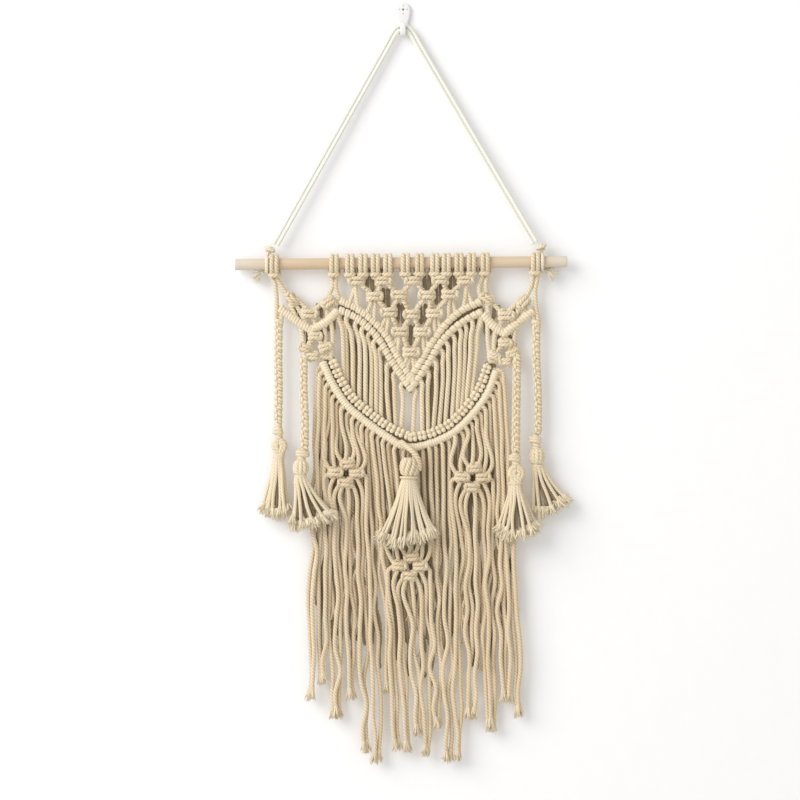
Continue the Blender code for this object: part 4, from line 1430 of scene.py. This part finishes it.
@dataclass
class Fringe:
    """The outer band of hitches, the long cords that hang from it and the flowers tied in them."""

    left: Bar
    right: Bar
    flowers: tuple
    offset: float = 9.7         # of the band from the lowest bars' line
    layer: float = 1.4          # depth of the two layers of cords, to both sides
    cord: float = 2.35
    gather: float = 0.5         # spacing of a tuft's ends as a share of that of its places
    bow: float = 2.4            # how far the cords of a tuft part above its end
    inner: int = 46             # cords behind the others, their side towards the viewer painted in shade
    inner_drop: float = 400.0   # where they end, about
    shares: tuple = (0.03, 0.08, 0.15, 0.23, 0.31, 0.39, 0.47, 0.55, 0.63, 0.71, 0.79, 0.87, 0.94, 1.0)
    sway: tuple = (0.0, 0.1, 0.2, 0.4, 0.6, 0.8, 0.9, 1.0, 1.0, 1.1, 1.1, 1.0, 0.8, 0.2)
    tufts: tuple = (
        Tuft(-108.5, -102.5, 2, 456.5), Tuft(-96.5, -90, 2, 440), Tuft(-84, -72, 3, 475.5),
        Tuft(-66, -59.5, 2, 455.5), Tuft(-50, -45, 2, 511.5), Tuft(-39, -33, 2, 522.5),
        Tuft(-17.5, -12, 2, 509), Tuft(-6, -0.5, 2, 511), Tuft(5, 10, 2, 494), Tuft(15.5, 19.5, 2, 515),
        Tuft(26, 31, 2, 486), Tuft(36.5, 41.5, 2, 521.5), Tuft(47, 52, 2, 518.5),
        Tuft(58.5, 69, 3, 475.5), Tuft(79.5, 90, 3, 489), Tuft(95.5, 106, 3, 458),
        Tuft(111, 115.5, 2, 474),
    )
    short: tuple = (
        (-99, 350), (-81, 371), (-69, 352), (-57, 380), (-44, 405), (-23, 351), (-19, 391), (-25, 450),
        (0, 372), (12, 410), (26, 361), (31, 406), (53, 383), (58, 396), (71, 425), (78, 424), (84, 423),
        (92, 372), (100, 395), (109, 362),
    )

    @cached_property
    def band(self) -> np.ndarray:
        """The band's line from left to right: the lowest bars' line moved out by the offset.

        Returns:
            Its points.
        """
        stations = self.left.stations[:-1] + ((0.0, 184.5),) + self.right.stations[-2::-1]
        path = spline(level(stations), 300)
        way = unit(np.gradient(path, axis=0))
        return path + np.stack((-way[:, 1], way[:, 0], np.zeros(len(way))), axis=1) * self.offset

    def route(self, share: float, hem: tuple, layer: float, random: np.random.Generator,
              side: float = 0.0) -> np.ndarray:
        """The way of one cord: square out of the band, then down to its hem in shallow waves.

        Args:
            share: its place along the band.
            hem: across and drop of its end.
            layer: its depth.
            random: the run of numbers that its waves come from.
            side: its place in its tuft, which bows out above the end.

        Returns:
            Its control points.
        """
        at = round(share * (len(self.band) - 1))
        way = unit(np.gradient(self.band, axis=0))[at]
        out = np.array((-way[1], way[0]))
        root = self.band[at, :2]
        start = root + out * 5.6
        shares = np.array(self.shares)
        sway = np.array(self.sway)
        settle = shares * (1.6 - 0.6 * shares)
        bulge = np.sin(math.pi * np.clip((shares - 0.5) / 0.5, 0.0, 1.0)) * side * self.bow
        across = start[0] + out[0] * 2.2 + (hem[0] - start[0] - out[0] * 2.2) * settle + bulge
        across += random.normal(0.0, 1.7, len(shares)) * sway
        depth = layer + random.normal(0.0, 0.5, len(shares)) * sway
        below = np.stack((across, start[1] + 1.5 + (hem[1] - start[1] - 1.5) * shares, depth), axis=1)
        head = ((*root, layer * 0.5 - 1.2), (*(root + out * 3.8), layer), (*(start + out * 0.6), layer))
        return np.vstack((head, below))

    def build(self) -> None:
        """Winds the band, lays the cords and ties the flowers."""
        layers = [Skein(name, Finish.LOW, "cotton_cord", ("fringe",), seed)
                  for name, seed in (("fringe_back", 21), ("fringe_front", 22), ("fringe_short", 23))]
        back, front, extra = layers
        strands = [(tuft.end(k, self.gather), tuft.side(k)) for tuft in self.tufts
                   for k in range(tuft.strands)]
        routes = [self.route((index + 0.5) / len(strands), hem, self.layer * (1 if index % 2 else -1),
                             front.random, side) for index, (hem, side) in enumerate(strands)]
        threaded = {}
        for flower in self.flowers:
            threaded.update(flower.thread(routes))
        for index, route in enumerate(routes):
            skein = front if index % 2 else back
            paths = [skein.lay(part, self.cord, pitch=LONG_PITCH, ends=0.9)
                     for part in threaded.get(index, [route])]
            self.fray(skein, paths[-1])
        places = [hem[0] for hem, _ in strands]
        shares = (np.arange(len(places)) + 0.5) / len(places)
        for across, drop in self.short:
            share = float(np.interp(across, places, shares))
            route = self.route(share, (across, drop), -self.layer - 2.4, extra.random)
            self.fray(extra, extra.lay(route, self.cord - 0.1, pitch=LONG_PITCH, ends=0.9))
        # cords behind the others, with painted shade on their side towards the viewer
        shade = Skein("fringe_inner", Finish.LOW, "cotton_cord", ("fringe",), 26, *HIDDEN)
        for index in range(self.inner):
            share = 0.045 + 0.91 * (index + 0.5) / self.inner
            across = float(np.interp(share, shares, places))
            drop = self.inner_drop + shade.random.normal(0.0, 20.0)
            shade.lay(self.route(share, (across, drop), -4.9, shade.random), self.cord + 0.2)
        top = Skein("fringe_band", Finish.BODY, "cotton_cord", ("fringe",), seed=24)
        line = self.band[::6]
        Knots.coil(top, line, 2.75, 4.6, 1.95, 0.8)
        top.lay(line, 2.9)
        knots = Skein("fringe_flowers", Finish.LOW, "cotton_cord", ("fringe",), seed=25)
        for flower in self.flowers:
            flower.tie(knots)
        for skein in (*layers, shade, top, knots):
            skein.weave()

    @staticmethod
    def fray(skein: Skein, path: np.ndarray) -> None:
        """Opens the end of a cord into loose yarns."""
        way = unit(path[-1:] - path[-3:-2])
        skein.brush(path[-1:] - 8.0 * way, way, hairs=26, length=13.0, spread=2.5)


@dataclass(frozen=True)
class Braid:
    """A plait of three cords that hangs from a motif."""

    name: str
    seed: int
    top: tuple
    neck: tuple
    collar: float = 0.0         # half width of the turns at its top, if it has any
    pitch: float = 20.5
    half: float = 4.9           # of its width
    cord: float = 2.5

    def build(self) -> None:
        """Plaits the cords."""
        skein = Skein(self.name + "_plait", Finish.BODY, "cotton_cord", (self.name,), self.seed)
        top, neck = level((self.top, self.neck))
        sway = np.array((skein.random.normal(0.0, 0.6), 0.0, 0.0))
        upper, lower = (2 * top + neck) / 3 + sway, (top + 2 * neck) / 3 - sway
        Knots.plait(skein, np.array((top, upper, lower, neck)), self.pitch, self.half, self.cord)
        if self.collar:
            Knots.wrap(skein, Station(top[0], top[1] + 0.5, top[2]), self.collar, 1, 2.0, cord=2.1,
                       tilt=1.6)
        skein.weave()


@dataclass(frozen=True)
class Tassel:
    """A bundle of cords folded over and bound: a wrap, a round head and a loose skirt."""

    name: str
    seed: int
    across: float
    wrap: tuple             # drop of the first turn, turns, height and half width
    head: tuple             # across, top, bottom and half width
    neck: tuple             # across, drop and half width
    hem: tuple              # stations from left to right
    forward: float = 0.0
    cords: int = 8
    inner: int = 0          # cords of the skirt that don't go over the head
    core: int = 7           # cords in the middle of the skirt, their side towards the viewer painted in shade
    tips: int = 16          # tufts along its hem
    cord: float = 2.1
    fine: float = 1.9
    hairs: int = 15
    spread: float = 2.6
    ring: float = 0.0       # radius of the eye of a head whose cords are looped in its own plane
    swirl: float = 0.0      # turn of a ball's cords between its top and its neck
    root: tuple = ()        # a thick cord that comes over the head
    taper: float = 1.0      # the wrap's width at its top as a share of that at its foot

    def down(self, skein: Skein, side: float, front: float) -> np.ndarray:
        """A cord's way from the neck to the hem.

        Args:
            skein: the piece, whose random numbers are used.
            side: its place from -1 at the left to 1 at the right.
            front: its place from -1 at the back to 1 at the front.

        Returns:
            Its control points.
        """
        hem = level(self.hem)
        run = run_of(hem)
        share = float(np.clip(0.5 + 0.5 * side + skein.random.normal(0.0, 0.025), 0.0, 1.0)) * run[-1]
        end = np.array((np.interp(share, run, hem[:, 0]), np.interp(share, run, hem[:, 1]),
                        self.forward + front * 4.2 + skein.random.normal(0.0, 0.5)))
        end[1] -= abs(skein.random.normal(0.0, 1.2)) + (1.5 if front < 0 else 0.0)
        across, drop, half = self.neck
        neck = np.array((across + side * half * 0.72, drop, self.forward + front * half * 0.5))
        fall = end - neck
        bend = (skein.random.normal(0.0, 0.7), 0.0, front * 0.4)
        return np.array((neck, neck + fall * (0.22, 0.3, 0.4) + (0.0, 0.0, front * 0.6),
                         neck + fall * (0.56, 0.64, 0.8) + bend, end))

    def finish_end(self, skein: Skein, points: np.ndarray, radius: float) -> None:
        """Lays a cord and opens its last end into yarns.

        Args:
            skein: the piece that gets it.
            points: its control points.
            radius: in millimetres.
        """
        path = skein.lay(points, radius, ends=0.85, smooth=0.25, thin=self.fine / radius)
        way = unit(path[-1:] - path[-4:-3])
        skein.brush(path[-1:] - 6.0 * way, way, self.hairs, 11.5, self.spread)

    def fluff(self, skein: Skein) -> None:
        """Fills the hem with loose yarns between the cords' own ends.

        Args:
            skein: the piece that gets them.
        """
        hem = spline(level(self.hem), self.tips)
        hem[:, 2] = self.forward + skein.random.normal(0.5, 2.4, self.tips)
        way = unit(hem - np.array((self.neck[0], self.neck[1], self.forward)))
        start = hem - way * (7.5 + skein.random.random(self.tips)[:, None] * 3.0)
        skein.brush(start, way, 19, 8.5, 3.4)

    def dome(self, skein: Skein) -> None:
        """Folds the cords over the head like the ribs of a pumpkin, and down into the skirt.

        Args:
            skein: the piece that gets them.
        """
        across, top, bottom, wide = self.head
        bend = np.array((0.10, 0.28, 0.5, 0.72, 0.9)) * math.pi
        for k in range(self.cords):
            angle = 2 * math.pi * (k + 0.5) / self.cords + self.swirl * (bend / math.pi - 0.5)
            reach = (wide - self.cord) * np.sin(bend) ** 0.7
            deep = min(wide - self.cord, 6.4) * np.sin(bend) ** 0.7
            drop = (top + self.cord + bottom) / 2 - (bottom - top - self.cord) / 2 * np.cos(bend)
            rib = np.stack((across + np.cos(angle) * reach, drop,
                            self.forward + np.sin(angle) * deep), axis=1)
            low = self.down(skein, 0.97 * math.cos(angle[-1]), math.sin(angle[-1]))
            if self.swirl:
                skein.lay(np.vstack((rib, low[:1])), self.cord)
            else:
                self.finish_end(skein, np.vstack((rib, low)), self.cord)

    def eye(self, skein: Skein) -> None:
        """Loops the cords round an eye in the head's own plane, with both ends in the skirt.

        Args:
            skein: the piece that gets them.
        """
        across, top, _, wide = self.head
        turn = np.radians(np.linspace(-48.0, 228.0, 11))
        rounds = ((wide - self.cord, -3.4), (wide - self.cord, 0.0), (wide - self.cord - 0.6, 3.2),
                  (self.ring + self.cord, -1.8), (self.ring + self.cord, 3.6))
        for index, (reach, depth) in enumerate(rounds):
            loop = np.stack((across + reach * np.cos(turn), top + wide - reach * np.sin(turn),
                             np.full(len(turn), self.forward + depth)), axis=1)
            share = 0.95 - 0.17 * index
            right = self.down(skein, share, depth / 4.0)
            left = self.down(skein, -share, depth / 4.0)
            half = len(loop) // 2
            self.finish_end(skein, np.vstack((loop[half:], left)), self.cord)
            self.finish_end(skein, np.vstack((loop[half::-1], right)), self.cord)

    def build(self) -> None:
        """Binds the head, lays its cords and fills the skirt."""
        skein = Skein(self.name + "_cords", Finish.BODY, "cotton_cord", (self.name,), self.seed)
        drop, turns, height, half = self.wrap
        if turns:
            Knots.wrap(skein, Station(self.across, drop, self.forward), half, turns, height,
                       top=self.taper)
            skein.lay(np.array(((self.across, drop - 3, self.forward),
                                (self.head[0], self.head[1] + 4, self.forward))), half * 0.6, dip=0.05)
        if self.ring:
            self.eye(skein)
        else:
            self.dome(skein)
        # the skirt's middle cords, with painted shade on their side towards the viewer
        core = Skein(self.name + "_inner", Finish.BODY, "cotton_cord", (self.name,), self.seed + 20,
                     *HIDDEN)
        for k in range(self.inner):
            angle = 2 * math.pi * (k + 0.5) / self.inner + 0.4
            self.finish_end(skein, self.down(skein, 0.95 * math.cos(angle), math.sin(angle)), self.fine)
        for k in range(self.core):
            low = self.down(core, 1.7 * (k + 0.5) / self.core - 0.85, -0.3 + 0.4 * (k % 2))
            low[-1] -= (low[-1] - low[-2]) * 0.35
            core.lay(low, self.fine + 0.3)
        core.weave()
        self.fluff(skein)
        if self.root:
            skein.lay(level(self.root), 2.9)
        across, drop, half = self.neck
        Knots.wrap(skein, Station(across, drop - 1.2, self.forward), half + 0.9, 2, 1.8,
                   cord=0.8, tilt=0.3, depth=0.75)
        skein.weave()


@dataclass(frozen=True)
class Studio:
    """The wall, the floor, the lights and the camera."""

    span: float = 0.8432        # what the picture's width shows at the cloth's plane
    middle_x: float = -0.0032
    middle_z: float = -0.4047
    distance: float = 3.0
    sensor: float = 36.0
    wall_y: float = 0.0009      # just behind the hook's back
    floor_z: float = -1.0
    reach: float = 2.5          # of the wall and the floor to each side

    def camera(self) -> None:
        """A long lens square to the wall, so that the cloth's plane fills the picture as measured."""
        data = bpy.data.cameras.new("camera")
        data.sensor_width = self.sensor
        data.lens = self.sensor * (self.distance + CLOTH_ORIGIN[1]) / self.span
        camera = bpy.data.objects.new("camera", data)
        camera.location = (self.middle_x, -self.distance, self.middle_z)
        camera.rotation_euler = (math.pi / 2, 0.0, 0.0)
        bpy.context.scene.collection.objects.link(camera)
        bpy.context.scene.camera = camera

    @staticmethod
    def plane(name: str, corners: tuple, material: bpy.types.Material) -> bpy.types.Object:
        """Makes a flat stage surface from its four corners.

        Args:
            name: its name.
            corners: four places in metres.
            material: what it is painted with.

        Returns:
            The surface.
        """
        mesh = bpy.data.meshes.new(name)
        mesh.from_pydata(corners, [], [(0, 1, 2, 3)])
        mesh.materials.append(material)
        item = bpy.data.objects.new(name, mesh)
        bpy.context.scene.collection.objects.link(item)
        return item

    @staticmethod
    def wall_paint() -> bpy.types.Material:
        """Matt white paint whose back lets everything through, so that the back can be seen.

        Returns:
            The material.
        """
        recipe = Recipe("wall_paint")
        solid = recipe.node("ShaderNodeTexCoord", output="Object")
        haze = recipe.noise(solid, 60.0)
        colour = recipe.mix(haze, (0.90, 0.90, 0.91), (0.88, 0.88, 0.89))
        recipe.finish(Base_Color=colour, Roughness=0.95)
        behind = recipe.node("ShaderNodeNewGeometry", output="Backfacing")
        clear = recipe.node("ShaderNodeBsdfTransparent")
        both = recipe.node("ShaderNodeMixShader", inputs={0: behind, 2: clear})
        recipe.tree.links.new(recipe.shader.outputs[0], both.socket.node.inputs[1])
        recipe.tree.links.new(both.socket, recipe.tree.nodes["Material Output"].inputs["Surface"])
        return recipe.material

    @staticmethod
    def lamp(name: str, place: tuple, target: tuple, size: float, power: float,
             colour: tuple) -> None:
        """A square soft light that points at a target.

        Args:
            name: its name.
            place: where it stands.
            target: what it points at.
            size: of its side, in metres.
            power: in watts.
            colour: of its light.
        """
        data = bpy.data.lights.new(name, "AREA")
        data.size = size
        data.energy = power
        data.color = colour
        lamp = bpy.data.objects.new(name, data)
        lamp.location = place
        way = unit(np.array(target) - np.array(place))
        pitch = math.acos(-way[2])
        turn = math.atan2(way[1], way[0]) - math.pi / 2
        lamp.rotation_euler = (pitch, 0.0, turn)
        bpy.context.scene.collection.objects.link(lamp)

    def build(self) -> None:
        """Sets up everything but the camera."""
        side, back, low = self.reach, self.wall_y, self.floor_z
        wall = self.plane("wall", ((-side, back, low), (side, back, low), (side, back, 2.0),
                                   (-side, back, 2.0)), self.wall_paint())
        wall.visible_diffuse = False        # so that the soft light reaches the hanging's back
        floor = Recipe("floor")
        colour = floor.mix(floor.noise(None, 8.0), (0.83, 0.82, 0.80), (0.80, 0.79, 0.77))
        floor.finish(Base_Color=colour, Roughness=0.8)
        self.plane("floor", ((-side, -3.5, low), (side, -3.5, low), (side, 2.0, low), (-side, 2.0, low)),
                   floor.material)
        self.lamp("key", (-3.2, -2.6, 1.6), (0.0, 0.0, -0.4), 3.4, 160.0, (1.0, 0.99, 0.97))
        world = bpy.data.worlds.new("soft_white")
        world.use_nodes = True
        background = world.node_tree.nodes["Background"]
        background.inputs["Color"].default_value = (1.0, 1.0, 1.0, 1.0)
        background.inputs["Strength"].default_value = 0.74
        bpy.context.scene.world = world
        bpy.context.scene.view_settings.view_transform = "Standard"


# -------------------------------------------------------------------------------- the whole thing

V_HITCH = {"half": 4.35, "gap": 0.17, "cord": 1.9}
V_UPPER = {
    "left": Bar(((-75, 39), (-54, 50), (-26.5, 75.5), (-11.5, 103), (4, 126)), 19, **V_HITCH),
    "right": Bar(((75, 40), (51.5, 51.5), (24.5, 81), (9, 107), (-4, 126)), 19, **V_HITCH),
}
V_LOWER = {
    "left": Bar(((-76, 49), (-61, 55.5), (-35, 78), (-20.5, 102), (1, 134)), 18, **V_HITCH),
    "right": Bar(((76, 51), (59.5, 59), (33.5, 81.5), (18, 106.5), (-1, 134)), 18, **V_HITCH),
}
LOWEST = {
    "left": Bar(((-83.5, 101), (-72, 125.5), (-59, 144), (-41.5, 159), (-22, 173), (2, 184)), 12, 4.9,
                2.5, 0.12, 2.0),
    "right": Bar(((82, 106), (72, 133), (57.5, 153), (38.5, 171), (17.5, 180.5), (-2, 184)), 12, 4.9,
                 2.5, 0.12, 2.0),
}

MOTIFS = (
    Motif("motif_left", 41,
          heads=((-143.5, ((-144, 19), (-141.8, 30), (-141.0, 45), (-141.6, 63)),
                  ((-139, 20), (-133, 29), (-127, 36))),
                 (-80.5, ((-82, 22), (-86.5, 35)), ((-79, 22), (-75, 39)))),
          knots=(Knot(-125, 38.5, 49, 16), Knot(-107, 53.5, 0, 18), Knot(-86, 41.5, -32, 16),
                 Knot(-100.5, 77, 0, 15), Knot(-111, 89.5, 22, 14), Knot(-90, 89, -20, 14),
                 Knot(-103, 98.5, 0, 14)),
          bars=(((-138.5, 47), (-123, 59), (-103, 72)), ((-76.5, 49), (-87, 60.5), (-105, 71))),
          strands=(((-122, 42), (-113, 58), (-110, 66)), ((-128, 42), (-123, 52), (-120, 60)),
                   ((-107, 53), (-101, 62), (-100, 69)), ((-118, 40), (-107, 50)),
                   ((-93, 42), (-104, 52)), ((-88, 46), (-88, 61)),
                   ((-117, 64), (-114, 76), (-112.5, 88)),
                   ((-104, 72), (-103, 78)), ((-92, 64), (-89.5, 76), (-89.5, 87)),
                   ((-84.5, 59), (-82, 76), (-84, 103)), ((-104, 80), (-110, 89)),
                   ((-97, 80), (-91, 89)), ((-99, 98), (-84, 100.5)),
                   ((-137, 48), (-136, 55), (-136.5, 64))),
          holes=((-119, 51), (-96.5, 50), (-83.5, 64), (-111, 78), (-91.5, 77))),
    Motif("motif_right", 42,
          heads=((78.5, ((72.5, 24), (74.5, 40)), ((79.5, 20), (80.5, 33))),
                 (131.5, ((127, 25), (121, 38)), ((131.5, 27), (132.5, 48), (135.2, 64)))),
          knots=(Knot(119, 41.5, -49, 16), Knot(100.5, 55.5, 0, 18), Knot(81, 38, 35, 16),
                 Knot(99.5, 84.5, 0, 15), Knot(108, 95, -20, 14), Knot(88, 98, 20, 14),
                 Knot(100.5, 104, 0, 14)),
          bars=(((130.5, 49.5), (115.5, 61), (98, 75)), ((76.5, 53), (87, 66), (99.5, 75))),
          strands=(((116, 45), (107, 66)), ((122, 46), (117, 60)), ((100.5, 55), (95, 63), (95, 71)),
                   ((112, 43), (102, 52)), ((86, 42), (97, 53)), ((80, 42), (84, 62)),
                   ((111, 64), (109.5, 80), (108.5, 94)), ((99, 75), (101, 85)),
                   ((90, 68), (88, 82), (88, 97)), ((81, 60), (81.5, 80), (84, 104)),
                   ((103, 87), (108, 95)), ((96, 87), (89, 97)), ((97, 102.5), (82, 104)),
                   ((129, 51), (129.5, 58), (130.5, 66))),
          holes=((111, 54), (90.5, 52), (81.5, 68), (107, 82), (91, 84))),
)

FLOWERS = (Flower(-68, 222), Flower(65.3, 226.6), Flower(-1, 320))

BRAIDS = (
    Braid("braid_outer_left", 51, (-138.8, 60, 0.5), (-139.6, 169, 0.5), 5.4),
    Braid("braid_inner_left", 52, (-112.5, 97, 3.0), (-111.5, 198, 9.0)),
    Braid("braid_inner_right", 53, (112.0, 97, 3.0), (110.5, 200, 9.0)),
    Braid("braid_outer_right", 54, (132.6, 61, 0.5), (134.0, 180, 0.5), 5.4),
)

TASSELS = (
    Tassel("tassel_outer_left", 61, -139.5, (170.5, 3, 10.0, 6.8), (-138.3, 184.0, 203.0, 8.9),
           (-139.0, 203.5, 5.6),
           ((-156, 260.3), (-150.2, 263.5), (-144.9, 265.6), (-138.6, 266.7), (-132.3, 264.6),
            (-127, 262.4)),
           forward=0.5, ring=0.5, cord=2.6, taper=0.62),
    Tassel("tassel_inner_left", 62, -113.3, (198.0, 2, 5.6, 7.6), (-115.2, 206.0, 223.0, 8.9),
           (-115.4, 224.5, 5.8),
           ((-125.4, 276), (-120.7, 279.3), (-110.1, 279.3), (-99.6, 276), (-89, 271), (-79.6, 266.7)),
           forward=10.0, cord=2.4, cords=10),
    Tassel("tassel_middle", 63, -1.0, (0, 0, 0, 0), (-1.4, 202.4, 225.0, 10.4), (-2.1, 226.0, 8.6),
           ((-34.3, 288.8), (-26.9, 293), (-13.2, 298.3), (-0.5, 292), (14.2, 289.9), (25.8, 284.6)),
           forward=11.0, cords=9, inner=28, cord=2.7, fine=1.6, hairs=12, spread=3.4, swirl=1.2, tips=20,
           root=((-11, 187.5, 6), (-5, 192.5, 10), (1, 197.5, 15.5), (6.5, 203.5, 16), (9.0, 211, 13),
                 (9.0, 219, 10))),
    Tassel("tassel_inner_right", 64, 109.5, (202.5, 2, 6.0, 7.2), (111.4, 211.5, 230.3, 9.6),
           (110.7, 232.0, 7.0),
           ((91.7, 281.4), (97.5, 286.7), (102.8, 289.9), (109.1, 289.9), (121.7, 285.6), (134.4, 279.3)),
           forward=10.0, cord=2.6, ring=0.4, taper=0.85),
    Tassel("tassel_outer_right", 65, 131.0, (183.5, 2, 5.6, 7.6), (133.1, 193.5, 212.0, 8.9),
           (134.2, 214.0, 6.2),
           ((129.1, 263.5), (135.4, 266.7), (141.8, 265.6), (148.1, 263.5), (154.4, 259.3),
            (164.9, 249.8)),
           forward=0.5, cords=10, cord=2.5),
)

HANGING_CORDS = (
    HangingCord("hanging_cord_outer", 0.541, 0.2, (
        (-136.4, -10.6, -240.3), (-113.3, -9.7, -199.0), (-88.9, -8.7, -155.4), (-64.4, -7.8, -111.8),
        (-40.0, -6.8, -68.2), (-18.0, -6.0, -28.9), (-10.7, -5.7, -15.8), (-7.9, -5.7, -12.4),
        (-4.2, -5.7, -10.2), (0.0, -5.7, -9.5), (4.2, -5.7, -10.2), (7.9, -5.7, -12.4),
        (10.6, -5.7, -15.6), (18.2, -6.0, -28.5), (41.0, -6.8, -67.4), (66.3, -7.8, -110.5),
        (91.6, -8.7, -153.6), (116.9, -9.7, -196.7), (141.0, -10.6, -237.8))),
    HangingCord("hanging_cord_inner", 0.532, 0.5, (
        (-132.4, -10.6, -242.0), (-109.5, -9.7, -201.2), (-85.1, -8.7, -157.5), (-60.7, -7.8, -113.9),
        (-36.3, -6.8, -70.3), (-14.3, -6.0, -31.0), (-7.0, -5.7, -17.9), (-4.6, -5.7, -15.2),
        (-2.1, -5.7, -14.1), (0.0, -5.7, -13.8), (2.1, -5.7, -14.1), (4.6, -5.7, -15.2),
        (6.9, -5.7, -17.8), (14.5, -6.0, -30.7), (37.2, -6.8, -69.6), (62.5, -7.8, -112.8),
        (87.7, -8.7, -155.9), (113.0, -9.7, -199.1), (137.2, -10.6, -240.5))),
)

HANGER_KNOTS = (
    HangerKnot("hanger_knot_left", -143.3, (-140.2, -246.3),
               ((-144.5, -8, -268.0), (-147.5, -8.5, -269.5), (-150.5, -9, -271.5)), -1),
    HangerKnot("hanger_knot_right", 146.6, (145.2, -243.8),
               ((147.5, -8, -265.5), (150.0, -8.5, -267.0), (152.5, -9, -269.0)), 1),
)


def main() -> None:
    """Builds the camera, the cords and then every other piece."""
    logging.basicConfig(level=logging.INFO, format="%(message)s")
    studio = Studio()
    studio.camera()
    for cord in HANGING_CORDS:
        cord.build()
    Dowel().build()
    WallHook().build()
    for knot in HANGER_KNOTS:
        knot.build()
    Net(V_UPPER).build()
    bars = Skein("bar_hitches", Finish.BODY, "cotton_cord", ("panel",), seed=12)
    for group in (V_UPPER, V_LOWER, LOWEST):
        for bar in group.values():
            bar.tie(bars)
    bars.weave()
    for motif in MOTIFS:
        motif.build()
    Falls(V_LOWER, LOWEST).build()
    Fringe(LOWEST["left"], LOWEST["right"], FLOWERS).build()
    for braid in BRAIDS:
        braid.build()
    for tassel in TASSELS:
        tassel.build()
    studio.build()


if __name__ == "__main__":
    main()
